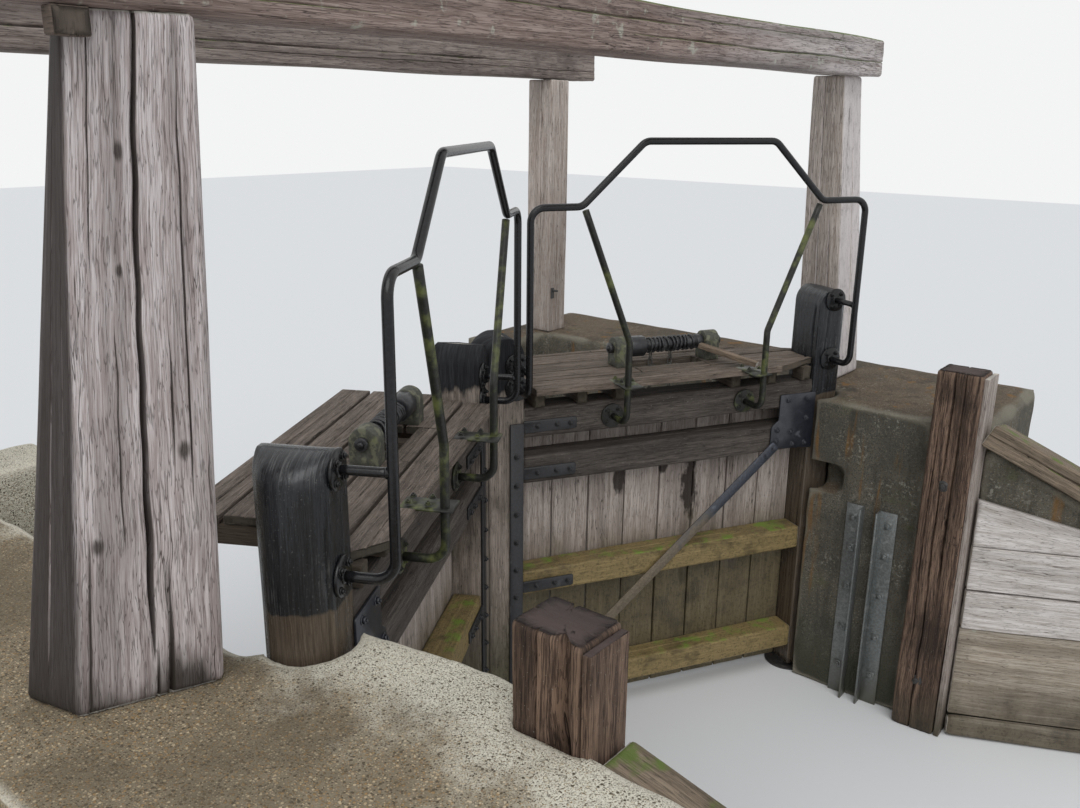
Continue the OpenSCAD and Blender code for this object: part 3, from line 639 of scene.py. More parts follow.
def grain_group():
    """Fibre lines, broad streaks, short dark checks and a height, all stretched along the grain of the UV
    map."""
    tree, given, out = group("timber grain", {"Grain": None, "Seed": 0.0},
                             ("Fibre", "Streak", "Check", "Height"))
    seed = node(tree, "CombineXYZ", {"Z": given["Seed"]}).outputs[0]
    wander = node(tree, "TexNoise", {"Vector": given["Grain"], "Scale": 2.2, "Detail": 1.0}).outputs[1]
    bend = scaled(tree, wander, (0.014, 0.0, 0.0), (-0.007, 0.0, 0.0))
    line = vector(tree, "ADD", vector(tree, "ADD", given["Grain"], bend), seed)
    fibre = speckle(tree, scaled(tree, line, (210.0, 7.5, 1.0)), 1.0, 4.0, 0.7)
    coarse = speckle(tree, scaled(tree, line, (52.0, 1.7, 1.0)), 1.0, 3.0, 0.6)
    streak = speckle(tree, scaled(tree, line, (11.0, 0.55, 1.0)), 1.0, 3.0, 0.55)
    web = speckle(tree, scaled(tree, line, (44.0, 2.1, 1.0), (3.1, 7.7, 0.0)), 1.0, 2.0, 0.5)
    check = ramp(tree, near_half(tree, web, 0.5), 0.003, 0.012, 1.0, 0.0)
    where = ramp(tree, speckle(tree, scaled(tree, line, (9.0, 1.4, 1.0), (9.1, 2.7, 0.0)), 1.0, 2.0), 0.50,
                 0.60)
    hair = speckle(tree, scaled(tree, line, (120.0, 6.5, 1.0), (5.3, 1.9, 0.0)), 1.0, 2.0, 0.5)
    hair = ramp(tree, near_half(tree, hair, 0.47), 0.004, 0.022, 0.62, 0.0)
    check = maths(tree, "MAXIMUM", times(tree, check, where), hair)
    both = maths(tree, "ADD", times(tree, fibre, 0.6), times(tree, coarse, 0.4))
    height = maths(tree, "SUBTRACT", both, times(tree, check, 0.8))
    feed(tree, out, {"Fibre": both, "Streak": streak, "Check": check, "Height": height})
    return tree


def patch_group():
    """Patches of a size, cut out of layered noise at a level: amount 0 gives none and 1 covers everything."""
    inputs = {"Place": None, "Scale": 3.0, "Amount": 0.5, "Soft": 0.12}
    tree, given, out = group("patches", inputs, ("Mask",))
    value = speckle(tree, given["Place"], given["Scale"], 5.0, 0.6)
    level = maths(tree, "SUBTRACT", 0.78, times(tree, given["Amount"], 0.56))
    feed(tree, out, {"Mask": ramp(tree, value, level, maths(tree, "ADD", level, given["Soft"]))})
    return tree


def wet_group():
    """How far a surface lies under a water line: 1 below Low, 0 above High, with a ragged edge."""
    tree, given, out = group("water line", {"Place": None, "Low": 0.1, "High": 0.6}, ("Wet",))
    rough = speckle(tree, scaled(tree, given["Place"], (1.0, 1.0, 0.35)), 6.0, 4.0)
    z = ragged(tree, along_axis(tree, given["Place"], 2), rough, 0.5)
    feed(tree, out, {"Wet": ramp(tree, z, given["Low"], given["High"], 1.0, 0.0)})
    return tree


def concrete_group():
    """Gravel in worn concrete: stones of two sizes from cells, each with its own tint, fine sand, and a
    height."""
    tree, given, out = group("gravel", {"Place": None}, ("Stone", "Tint", "Sand", "Height"))
    sand = speckle(tree, given["Place"], 210.0, 3.0, 0.7)
    stones, tints = [], []
    for scale, low, high in ((80.0, 0.26, 0.40), (155.0, 0.30, 0.44)):
        inputs = {"Vector": given["Place"], "Scale": scale, "Randomness": 1.0}
        cells = node(tree, "TexVoronoi", inputs).outputs
        stones.append(ramp(tree, ragged(tree, cells["Distance"], sand, 0.25), low, high, 1.0, 0.0))
        tints.append(node(tree, "SeparateColor", {0: cells["Color"]}).outputs[0])
    stone = maths(tree, "MAXIMUM", *stones)
    tint = node(tree, "Mix", {0: stones[0], 2: tints[1], 3: tints[0]}).outputs[0]
    rough = times(tree, speckle(tree, given["Place"], 22.0, 4.0, 0.6), 0.8)
    height = maths(tree, "ADD", times(tree, stone, 0.3), maths(tree, "ADD", times(tree, sand, 0.4), rough))
    feed(tree, out, {"Stone": stone, "Tint": tint, "Sand": sand, "Height": height})
    return tree


GROUPS = {"grain": grain_group(), "patch": patch_group(), "wet": wet_group(), "gravel": concrete_group()}


def use(tree, name, inputs):
    made = tree.nodes.new("ShaderNodeGroup")
    made.node_tree = GROUPS[name]
    return feed(tree, made, inputs).outputs


def patch(tree, place, scale, amount, soft=0.12, offset=0.0):
    moved = scaled(tree, place, (1, 1, 1), (offset, offset * 1.7, offset * 0.6))
    return use(tree, "patch", {"Place": moved, "Scale": scale, "Amount": amount, "Soft": soft})["Mask"]


def under(tree, place, low, high):
    return use(tree, "wet", {"Place": place, "Low": low, "High": high})["Wet"]


def grained(tree, seed):
    """The UV place along the grain, and the masks of the grain there."""
    uv = node(tree, "UVMap", uv_map="grain").outputs[0]
    return uv, use(tree, "grain", {"Grain": uv, "Seed": seed})


def cut_mark(tree):
    return node(tree, "Attribute", attribute_name="cut").outputs["Fac"]


def fresh(name):
    """A new material, its tree, the place of a point, and how far its surface looks up."""
    made = bpy.data.materials.new(name)
    made.use_nodes = True
    tree = made.node_tree
    upward = along_axis(tree, node(tree, "NewGeometry").outputs["Normal"], 2)
    return made, tree, node(tree, "TexCoord").outputs["Object"], upward


def surfaced(made, base, roughness, shine, height, strength, distance, metal=0.0):
    """The material with its colour, roughness and shine, and a height for its bump."""
    tree = made.node_tree
    bump = node(tree, "Bump", {"Height": height, "Strength": strength, "Distance": distance}).outputs[0]
    feed(tree, tree.nodes["Principled BSDF"], {"Base Color": base, "Roughness": roughness, "Metallic": metal,
                                               "Specular IOR Level": shine, "Normal": bump})
    return made


# %% [markdown]
# Oak goes silver in the sun, stays red brown where it is sheltered, goes nearly black where it is wet, and
# grows moss on top. One maker builds every timber material from those shares, so that each timber keeps its
# own mix of them. A side that looks one way can also take a colour of its own: painted shade where it is
# darker, painted light where it is lighter.


# %% Timber materials
def oak(name, pale, mid, dark, seed, brown=0.3, stain=0.25, moss_top=0.0, moss_side=0.0, foot=None, wet=None,
        wet_colour=(0.075, 0.065, 0.04), lichen=0.0, cut_colour=(0.62, 0.57, 0.5), bump=0.8, face=None,
        contrast=1.0, green=(0.075, 0.11, 0.022), knots=(), head=None, specks=0.0, stains=(), bleach=None):
    """Weathered timber. brown, stain, moss and lichen are shares from 0 to 1. wet is (low, high), foot is
    (low, high, colour), and head is the height over which it was painted black. specks are small pale dots. A
    stain is (x, y, z, half width, half height), and bleach is (from x, to x, colour). face is (x, y, z,
    colour, strength): surfaces that look that way take that colour, as painted shade where it is darker and
    painted light where it is lighter. A knot is (across the grain, along it, radius), with a ragged edge."""
    made, tree, place, upward = fresh(name)
    uv, grain = grained(tree, seed)
    fibre, streak = grain["Fibre"], grain["Streak"]
    base = mix(tree, ramp(tree, fibre, 0.5 - 0.11 / contrast, 0.5 + 0.11 / contrast), mid, pale)
    if bleach:
        share = ramp(tree, ragged(tree, along_axis(tree, place, 0), streak, 3.0), *bleach[:2])
        base = over(tree, base, share, ramp(tree, fibre, 0.34, 0.52), bleach[2])
    base = over(tree, base, ramp(tree, streak, 0.46, 0.62), brown, shade(mid, 0.62))
    base = over(tree, base, patch(tree, place, 1.7, stain, 0.16, seed), 0.6, dark)
    # Painted light and shade by facing: sides that look along the given direction take the given colour.
    if face:
        direction = node(tree, "VectorMath", {0: node(tree, "NewGeometry").outputs["Normal"], 1: face[:3]},
                         operation="DOT_PRODUCT").outputs["Value"]
        base = over(tree, base, ramp(tree, ragged(tree, direction, streak, 1.1), 0.35, 0.95), face[4],
                    face[3])
    if lichen:
        base = over(tree, base, patch(tree, place, 16.0, lichen, 0.08, seed + 4), 0.55, (0.50, 0.52, 0.43))
    # Painted shade: the fine checks of the grain are darkened where the bump digs them, standing in for the
    # shade inside the cracks.
    base = over(tree, base, grain["Check"], 0.85, shade(dark, 0.35))
    for x, y, z, half_w, half_h in stains:
        off = apart(tree, place, (x, y, z), (1 / half_w, 1 / half_w, 1 / half_h))
        off = ragged(tree, off, speckle(tree, scaled(tree, place, (1, 1, 0.4)), 26.0, 4.0), 2.2)
        base = mix(tree, ramp(tree, off, 0.75, 1.15, 0.9, 0.0), base, shade(dark, 0.4))
    if specks:
        dots = ramp(tree, speckle(tree, place, 170.0, 3.0, 0.6), 0.70 - 0.1 * specks, 0.76 - 0.1 * specks)
        base = over(tree, base, dots, 0.55, (0.50, 0.47, 0.41))
    for across, along, radius in knots:
        off = apart(tree, uv, (across, along, 0.0), (1.0 / radius, 0.62 / radius, 0.0))
        base = mix(tree, ramp(tree, ragged(tree, off, fibre, 1.1), 0.35, 1.1, 0.85, 0.0), base,
                   shade(dark, 0.3))
    if foot:
        base = over(tree, base, under(tree, place, *foot[:2]), 0.9, foot[2])
    roughness = 0.82
    if wet:
        level = under(tree, place, *wet)
        tinted = mix(tree, patch(tree, place, 5.0, 0.5, 0.2, seed + 2), wet_colour, shade(wet_colour, 0.45))
        tinted = mix(tree, patch(tree, place, 8.0, 0.45, 0.3, seed + 5), tinted, shade(wet_colour, 0.28))
        grit = ramp(tree, speckle(tree, place, 60.0, 4.0, 0.7), 0.50, 0.62, 0.0, 0.6)
        tinted = mix(tree, grit, tinted, shade(wet_colour, 0.3))
        tinted = over(tree, tinted, ramp(tree, fibre, 0.5, 0.62), 0.35, shade(wet_colour, 1.9))
        base = over(tree, base, level, 0.92, tinted)
        roughness = ramp(tree, level, 0.0, 1.0, roughness, 0.5)
    if moss_side:
        base = over(tree, base, patch(tree, place, 3.2, moss_side, 0.2, seed + 7), 0.75, green)
    if moss_top:
        clump = patch(tree, place, 9.0, moss_top, 0.16, seed + 1)
        if wet:
            clump = times(tree, clump, level)
        base = over(tree, base, times(tree, clump, ramp(tree, upward, 0.35, 0.85)), 0.9, shade(green, 1.5))
    if head:
        paint = mix(tree, ramp(tree, fibre, 0.4, 0.7), (0.010, 0.010, 0.012), (0.04, 0.042, 0.046))
        base = mix(tree, under(tree, place, head + 0.22, head + 0.26), paint, base)
    ends = mix(tree, ramp(tree, streak, 0.35, 0.65), cut_colour, shade(cut_colour, 0.72))
    base = mix(tree, ramp(tree, cut_mark(tree), 0.2, 0.9), base, ends)
    return surfaced(made, base, roughness, 0.3, grain["Height"], bump, 0.0035)


BOARD_STAINS = [(*leaf_place([u, -0.03, z], FAR), w, h) for u, z, w,
                h in ((0.755, 1.25, 0.050, 0.20), (1.19, 1.33, 0.040, 0.09), (0.93, 1.40, 0.03, 0.06))]
POST_W, POST_D, POST_SEED = 0.36, 0.27, 1.3
POST_S = 2 * POST_D + POST_W + POST_SEED * 0.37
POST_L = POST_SEED * 1.91 - COPING
POST_KNOTS = [(POST_S + POST_W * share, POST_L + z, radius) for share, z, radius in (
    (0.39, 3.15, 0.017), (0.375, 2.88, 0.012), (0.77, 2.42, 0.020), (0.15, 2.20, 0.019))]
OAKS = {
    "post_near": ("silver oak near post", (0.66, 0.60, 0.59), (0.36, 0.30, 0.285), (0.15, 0.115, 0.10), 1.0,
        dict(brown=0.45, foot=(1.70, 1.86, (0.030, 0.024, 0.018)),
             # face: painted shade, the side that looks along -x is nearly black
             face=(-1.0, 0.0, 0.0, (0.020, 0.014, 0.010), 0.92), lichen=0.15, contrast=1.1,
             knots=POST_KNOTS)),
    "post_far": ("silver oak far post", (0.62, 0.55, 0.50), (0.36, 0.295, 0.25), (0.17, 0.125, 0.10), 2.0,
        # face: painted light, the side that looks along -y is pale
        dict(brown=0.45, stain=0.2, face=(0.0, -1.0, 0.0, (0.78, 0.73, 0.72), 0.7))),
    "post_up": ("silver oak upstream post", (0.64, 0.57, 0.52), (0.40, 0.32, 0.27), (0.22, 0.155, 0.12), 3.0,
        dict(brown=0.45, stain=0.2)),
    "beam_low": ("weathered beam", (0.37, 0.285, 0.25), (0.185, 0.13, 0.11), (0.085, 0.058, 0.047), 4.0,
        dict(brown=0.5, stain=0.4, moss_top=0.85, cut_colour=(0.72, 0.68, 0.62), lichen=0.3, contrast=1.1,
             bleach=(-0.2, 1.6, (0.56, 0.51, 0.49)), specks=0.3)),
    "beam_up": ("upstream beam", (0.38, 0.32, 0.285), (0.19, 0.15, 0.13), (0.085, 0.065, 0.052), 5.0,
        dict(brown=0.5, stain=0.4, moss_top=0.5)),
    "cleat": ("dark oak", (0.16, 0.12, 0.095), (0.10, 0.075, 0.06), (0.05, 0.04, 0.032), 6.0,
        dict(cut_colour=(0.12, 0.095, 0.075))),
    "fender": ("fender oak", (0.25, 0.165, 0.115), (0.065, 0.041, 0.030), (0.020, 0.013, 0.010), 7.0,
        dict(brown=0.6, stain=0.5, moss_top=0.15, wet=(-0.1, 0.35), wet_colour=(0.06, 0.048, 0.03),
             cut_colour=(0.085, 0.062, 0.055), contrast=1.5, green=(0.05, 0.06, 0.025), specks=0.3)),
    "fender_plank": ("fender side plank", (0.46, 0.40, 0.36), (0.27, 0.22, 0.19), (0.11, 0.085, 0.07), 7.6,
        dict(brown=0.4, wet=(-0.1, 0.45), wet_colour=(0.08, 0.065, 0.04))),
    "boards": ("leaf boards", (0.56, 0.49, 0.44), (0.33, 0.27, 0.235), (0.06, 0.042, 0.034), 8.0,
        dict(brown=0.45, stain=0.2, wet=(0.70, 1.20), wet_colour=(0.125, 0.10, 0.050), bump=0.6, specks=0.25,
             stains=BOARD_STAINS)),
    "rails": ("leaf rails", (0.125, 0.105, 0.09), (0.050, 0.042, 0.036), (0.020, 0.016, 0.014), 9.0,
        dict(brown=0.4, stain=0.3, wet=(0.92, 1.22), wet_colour=(0.27, 0.20, 0.085),
             cut_colour=(0.4, 0.36, 0.3), moss_side=0.2, moss_top=0.5, green=(0.12, 0.185, 0.028),
             specks=0.45)),
    "mitre": ("mitre post oak", (0.40, 0.34, 0.29), (0.21, 0.17, 0.14), (0.06, 0.046, 0.036), 10.0,
        dict(brown=0.5, stain=0.55, moss_side=0.35, wet=(0.2, 1.1), wet_colour=(0.085, 0.078, 0.04),
             head=1.72)),
    "deck_near": ("near walkway planks", (0.25, 0.20, 0.165), (0.095, 0.073, 0.058), (0.035, 0.027, 0.021), 11.0,
        dict(brown=0.45, stain=0.35, moss_top=0.2, green=(0.05, 0.07, 0.018), cut_colour=(0.07, 0.06, 0.045),
             lichen=0.12, specks=0.75)),
    "deck_far": ("far walkway planks", (0.25, 0.20, 0.16), (0.095, 0.073, 0.056), (0.035, 0.027, 0.021), 12.0,
        dict(brown=0.45, stain=0.35, moss_top=0.2, green=(0.06, 0.08, 0.02), cut_colour=(0.10, 0.08, 0.06),
             lichen=0.1, specks=0.45)),
    "bearers": ("walkway bearers", (0.12, 0.095, 0.07), (0.065, 0.05, 0.037), (0.03, 0.024, 0.018), 13.0,
        dict(moss_side=0.25, cut_colour=(0.085, 0.07, 0.05))),
    "spike": ("handspike ash", (0.30, 0.225, 0.16), (0.14, 0.10, 0.07), (0.055, 0.04, 0.03), 14.0,
        dict(stain=0.15)),
    "wing_low": ("pale facing boards", (0.74, 0.70, 0.67), (0.47, 0.42, 0.375), (0.24, 0.19, 0.15), 15.0,
        dict(brown=0.35, stain=0.22, wet=(0.0, 0.55), wet_colour=(0.15, 0.125, 0.085), bump=0.5)),
    "wing_foot": ("stained facing boards", (0.50, 0.44, 0.36), (0.30, 0.245, 0.185), (0.09, 0.072, 0.055), 15.5,
        dict(brown=0.5, stain=0.45, wet=(0.0, 0.5), wet_colour=(0.11, 0.09, 0.06), bump=0.5, lichen=0.2)),
    "wing_cap": ("wing cap oak", (0.30, 0.235, 0.17), (0.15, 0.115, 0.08), (0.065, 0.05, 0.035), 16.0,
        dict(brown=0.45, stain=0.35, moss_top=0.5)),
    "paddle": ("paddle timber", (0.20, 0.16, 0.12), (0.12, 0.095, 0.07), (0.06, 0.045, 0.035), 17.0,
        dict(wet=(0.3, 1.0), moss_side=0.2)),
}
M = {key: oak(*first, **more) for key, (*first, more) in OAKS.items()}
print(len(M), "timber materials")


# %% [markdown]
# The heads of the posts were painted black, and years of hands and rain took the paint off the ridges of the
# grain. The iron is painted too: gloss black on the tube, dull and chipped on the straps. The angles are
# galvanised.


# %% Painted and iron materials
def painted_timber(name, low, high, seed, wear):
    """Black paint over timber: dull grey where worn, and bare brown timber under the height low to high."""
    made, tree, place, upward = fresh(name)
    _, grain = grained(tree, seed)
    fibre = grain["Fibre"]
    black = mix(tree, ramp(tree, fibre, 0.36, 0.66), (0.007, 0.0075, 0.009), (0.024, 0.026, 0.030))
    rubbed = times(tree, patch(tree, place, 7.0, wear, 0.25, seed), ramp(tree, fibre, 0.50, 0.58))
    black = over(tree, black, rubbed, 0.75, (0.17, 0.165, 0.155))
    top = times(tree, ramp(tree, upward, 0.2, 0.95), ramp(tree, fibre, 0.4, 0.6))
    black = over(tree, black, top, 0.25, (0.09, 0.092, 0.095))
    dots = ramp(tree, speckle(tree, place, 190.0, 2.0, 0.5), 0.68, 0.72)
    black = over(tree, black, dots, 0.4, (0.25, 0.25, 0.24))
    brown = mix(tree, ramp(tree, fibre, 0.35, 0.65), (0.05, 0.038, 0.027), (0.13, 0.10, 0.072))
    z = maths(tree, "ADD", along_axis(tree, place, 2), times(tree, speckle(tree, place, 12.0, 3.0), 0.05))
    base = mix(tree, ramp(tree, z, low, high, 1.0, 0.0), black, brown)
    return surfaced(made, base, ramp(tree, rubbed, 0.0, 1.0, 0.27, 0.7), 0.5, grain["Height"], 0.55, 0.003)


def iron(name, base, worn, rough=0.45, wear=0.35, rust=0.15, green=0.0, bare=None, metal=0.0, scale=14.0,
         shine=0.5):
    """Painted iron: chips and scuffs in patches, rust in the patches' hearts, and algae if asked. bare is
    (low, high, colour): under that height the paint has gone."""
    made, tree, place, _ = fresh(name)
    fine = speckle(tree, place, 90.0, 3.0, 0.6)
    body = mix(tree, ramp(tree, fine, 0.35, 0.7), base, [b * 1.5 + 0.004 for b in base])
    chips = patch(tree, place, scale, wear, 0.1)
    body = over(tree, body, chips, 0.7, worn)
    rusty = patch(tree, place, scale * 0.6, rust, 0.14, 3.0)
    body = over(tree, body, rusty, 0.7, (0.11, 0.055, 0.028))
    if bare:
        gone = mix(tree, ramp(tree, fine, 0.3, 0.7), bare[2], shade(bare[2], 0.6))
        body = mix(tree, under(tree, place, *bare[:2]), body, gone)
    if green:
        body = over(tree, body, patch(tree, place, 11.0, green, 0.25, 5.0), 0.8, (0.17, 0.19, 0.06))
    dull = ramp(tree, maths(tree, "MAXIMUM", chips, rusty), 0.0, 1.0, rough, 0.75)
    height = maths(tree, "ADD", times(tree, fine, 0.5), chips)
    return surfaced(made, body, dull, shine, height, 0.3, 0.0012, metal)


M["heel_near"] = painted_timber("worn black heel post near", 1.885, 1.895, 21.0, 0.5)
M["heel_far"] = painted_timber("worn black heel post far", 1.765, 1.775, 22.0, 0.4)
IRONS = {
    "tube": ("gloss black tube", (0.006, 0.006, 0.007), (0.035, 0.035, 0.035),
        dict(rough=0.24, wear=0.12, rust=0.03, green=0.06, shine=0.4, scale=30.0)),
    "stay": ("algae grown stay", (0.014, 0.015, 0.012), (0.07, 0.07, 0.05),
        dict(rough=0.4, wear=0.3, rust=0.1, green=0.55, scale=20.0, shine=0.35)),
    "plate": ("blue black plate", (0.016, 0.018, 0.024), (0.09, 0.095, 0.11),
        dict(rough=0.33, wear=0.3, rust=0.12, shine=0.6)),
    "strip": ("black strap", (0.016, 0.016, 0.018), (0.085, 0.085, 0.085),
        dict(rough=0.42, wear=0.28, rust=0.2)),
    "diagonal": ("diagonal strap iron", (0.035, 0.039, 0.05), (0.15, 0.16, 0.19),
        dict(wear=0.4, bare=(0.95, 1.15, (0.19, 0.15, 0.10)))),
    "zinc": ("galvanised angle", (0.155, 0.165, 0.162), (0.31, 0.32, 0.31),
        dict(rough=0.42, rust=0.12, metal=0.55, scale=24.0, bare=(-0.1, 0.3, (0.16, 0.15, 0.11)), green=0.1)),
    "bolt": ("old bolt", (0.03, 0.028, 0.027), (0.12, 0.11, 0.10),
        dict(rough=0.5, wear=0.4, rust=0.35, scale=40.0)),
    "block": ("bearing block", (0.055, 0.054, 0.042), (0.20, 0.20, 0.13),
        dict(rough=0.7, wear=0.5, rust=0.25, green=0.4, scale=26.0)),
    "barrel": ("black barrel", (0.018, 0.018, 0.02), (0.10, 0.10, 0.10),
        dict(rough=0.38, rust=0.2, scale=22.0)),
    "chain": ("old chain", (0.10, 0.095, 0.085), (0.32, 0.30, 0.27),
        dict(rough=0.5, wear=0.5, rust=0.3, scale=50.0, metal=0.3)),
}
M.update({key: iron(*first, **more) for key, (*first, more) in IRONS.items()})


def concrete(name, base, dark, edge, wet=None, green=0.2, brown=0.3, seed=0.0, lichen=0.2, bump=0.7,
             top=None, band=None, rust=0.0, stones=0.4):
    """Worn concrete: gravel shows through, edges break pale, algae and stains run down, and the foot is dark
    and wet. band is (from, to, colour): between those distances from the middle of the channel the top
    bleaches to a colour."""
    made, tree, place, upward = fresh(name)
    gravel = use(tree, "gravel", {"Place": place})
    sand, tint = gravel["Sand"], gravel["Tint"]
    body = mix(tree, ramp(tree, sand, 0.3, 0.7), shade(base, 0.8), base)
    if top:
        trodden = mix(tree, ramp(tree, sand, 0.35, 0.65), shade(top, 0.7), top)
        body = mix(tree, ramp(tree, upward, 0.5, 0.9), body, trodden)
    warm = (base[0] * 1.3, base[1] * 1.05, base[2] * 0.75)
    stone = mix(tree, ramp(tree, tint, 0.15, 0.45), shade(base, 0.35), warm)
    stone = mix(tree, ramp(tree, tint, 0.55, 0.85), stone, [min(0.75, b * 2.1) for b in base])
    body = over(tree, body, gravel["Stone"], stones, stone)
    broad = ramp(tree, speckle(tree, place, 2.2, 5.0, 0.65), 0.45, 0.62, 0.0, 0.55)
    body = mix(tree, broad, body, shade(base, 0.45))
    runs = patch(tree, scaled(tree, place, (2.6, 2.6, 0.35)), 3.0, brown, 0.2, seed)
    body = over(tree, body, runs, 0.6, dark)
    spots = times(tree, patch(tree, place, 48.0, lichen, 0.05, seed + 2),
                  patch(tree, place, 5.0, 0.5, 0.2, seed + 8))
    body = over(tree, body, spots, 0.6, (0.42, 0.41, 0.34))
    body = over(tree, body, patch(tree, place, 4.0, green, 0.2, seed + 3), 0.65, (0.12, 0.125, 0.05))
    if wet:
        body = over(tree, body, under(tree, place, *wet), 0.85, (0.05, 0.052, 0.036))
    if rust:
        streaks = patch(tree, scaled(tree, place, (5.0, 5.0, 0.5)), 2.0, rust, 0.1, seed + 6)
        body = over(tree, body, streaks, 0.7, (0.26, 0.13, 0.035))
    if band:
        distance = maths(tree, "ABSOLUTE", along_axis(tree, place, 0))
        distance = ragged(tree, distance, speckle(tree, place, 3.0, 5.0, 0.65), 0.9)
        stained = times(tree, gravel["Stone"], ramp(tree, tint, 0.12, 0.28, 1.0, 0.0))
        pale = times(tree, ramp(tree, distance, band[1], band[0]), maths(tree, "SUBTRACT", 1.0, stained))
        body = over(tree, body, times(tree, pale, ramp(tree, sand, 0.38, 0.5)), 0.92, band[2])
    body = over(tree, body, ramp(tree, cut_mark(tree), 0.25, 0.75), ramp(tree, sand, 0.25, 0.5), edge)
    return surfaced(made, body, 0.88, 0.25, gravel["Height"], bump, 0.009)


M["wall_near"] = concrete("near wall concrete", (0.20, 0.175, 0.13), (0.085, 0.07, 0.055), (0.34, 0.31, 0.24),
                          wet=(0.1, 0.9), green=0.35, brown=0.5)
M["wall_far"] = concrete("far wall concrete", (0.150, 0.140, 0.112), (0.042, 0.038, 0.030),
                         (0.25, 0.23, 0.18), wet=(0.05, 0.75), green=0.36, brown=0.5, lichen=0.4, rust=0.36,
                         bump=1.0, top=(0.17, 0.125, 0.085), stones=0.65)
M["coping"] = concrete("gravel coping", (0.31, 0.25, 0.165), (0.12, 0.10, 0.072), (0.78, 0.73, 0.60),
                       green=0.05, seed=2.0, top=(0.33, 0.27, 0.185), band=(1.78, 2.10, (0.86, 0.82, 0.68)),
                       bump=1.0, stones=0.9)
print(len(M), "materials")

# %% [markdown]
# ## The portal frames
# Two posts carry each beam: heavy tapered oaks on the downstream side and lighter square ones upstream. The
# real posts are single baulks that were set green, so they have split from the heart outwards, in one long
# check down the face.

# %% Portal posts
def downstream_post(w, d, foot, head, **more):
    """A timber drawn upright, w by d, and fitted to four corners (x, y) at its foot and four at its head:
    each point is the mean of the corners, weighted by its share of the width, the depth and the height."""
    made = timber((0, 0, COPING), (0, 0, BEAM), (1, 0, 0), w, d, **more)
    p = made["points"]
    a = np.clip(p[:, 0] / (w + 0.002) + 0.5, -0.2, 1.2)[:, None]
    b = np.clip(p[:, 1] / (d + 0.002) + 0.5, -0.2, 1.2)[:, None]
    t = ((p[:, 2] - COPING) / (BEAM - COPING))[:, None]
    c = [(1 - t) * np.array(f) + t * np.array(g) for f, g in zip(foot, head)]
    plan = (1 - a) * (1 - b) * c[0] + a * (1 - b) * c[1] + a * b * c[2] + (1 - a) * b * c[3] + [0.0, AXIS_Y]
    return {**made, "points": np.concatenate([plan, p[:, 2:]], 1)}


def upstream_post(side):
    x, y = 2.063, 2.166
    return timber(bank_place([x, y, COPING], side), bank_place([x, y, BEAM], side), (1, 0, 0), 0.182, 0.204,
                  rings=90, around=64, radius=0.010, seed=3.1 + side, ridge=0.0013, waney=0.003,
                  checks=[(3.42, 0.0, 0.8, 0.004, 0.022, 0.010), (2.55, 0.1, 1.0, 0.004, 0.02, 0.010),
                          (0.5, 0.2, 0.9, 0.004, 0.02, 0.01)])


near_post = downstream_post(
    POST_W, POST_D, [(-2.441, 0.111), (-2.091, -0.027), (-2.020, 0.250), (-2.489, 0.300)],
    [(-2.3075, 0.033), (-2.042, -0.072), (-1.9665, 0.115), (-2.232, 0.220)],
    rings=200, around=150, radius=0.020, seed=POST_SEED, ridge=0.0016, waney=0.005, checks=[
        (3.50, 0.06, 1.0, 0.0075, 0.055, 0.020), (3.62, 0.0, 0.24, 0.007, 0.045, 0.016),
        (3.53, 0.0, 0.10, 0.004, 0.02, 0.01), (3.33, 0.25, 0.60, 0.0025, 0.010, 0.012),
        (3.17, 0.62, 1.0, 0.0025, 0.010, 0.010), (3.82, 0.30, 0.95, 0.0024, 0.008, 0.012),
        (3.70, 0.35, 0.6, 0.0025, 0.010, 0.012), (3.09, 0.0, 0.35, 0.003, 0.012, 0.01),
        (2.45, 0.05, 0.9, 0.005, 0.03, 0.02), (2.8, 0.3, 0.8, 0.003, 0.012, 0.012),
        (0.5, 0.1, 0.95, 0.006, 0.03, 0.02), (1.4, 0.0, 0.8, 0.006, 0.03, 0.02)])
far_post = downstream_post(
    0.29, 0.23, [(2.067, -0.024), (2.403, -0.024), (2.403, 0.246), (2.067, 0.246)],
    [(1.927, 0.035), (2.174, 0.035), (2.174, 0.218), (1.927, 0.218)],
    rings=120, around=100, radius=0.016, seed=2.3, ridge=0.0014, waney=0.004, checks=[
        (3.55, 0.1, 1.0, 0.003, 0.015, 0.014), (2.4, 0.2, 1.0, 0.003, 0.018, 0.015),
        (2.7, 0.0, 0.6, 0.003, 0.015, 0.01), (2.15, 0.4, 0.9, 0.0025, 0.01, 0.01),
        (0.5, 0.1, 0.9, 0.005, 0.03, 0.02), (1.5, 0.1, 0.8, 0.005, 0.02, 0.02)])
up_posts = [upstream_post(FAR), upstream_post(NEAR)]
piece("near_portal_post", [near_post], M["post_near"], "lock_walls", ["near_downstream_post"])
piece("far_portal_post", [far_post], M["post_far"], "lock_walls", ["far_downstream_post"])
piece("upstream_portal_posts", up_posts, M["post_up"], "lock_walls", ["upstream_posts"])

# %% Beams
def beam(x0, x1, y, w, seed, checks):
    z = 3.547
    return timber((x0, AXIS_Y + y, z), (x1, AXIS_Y + y, z), (0, 1, 0), w, 0.190, rings=150, around=84,
                  radius=0.016, seed=seed, ridge=0.0016, waney=0.006, checks=checks)


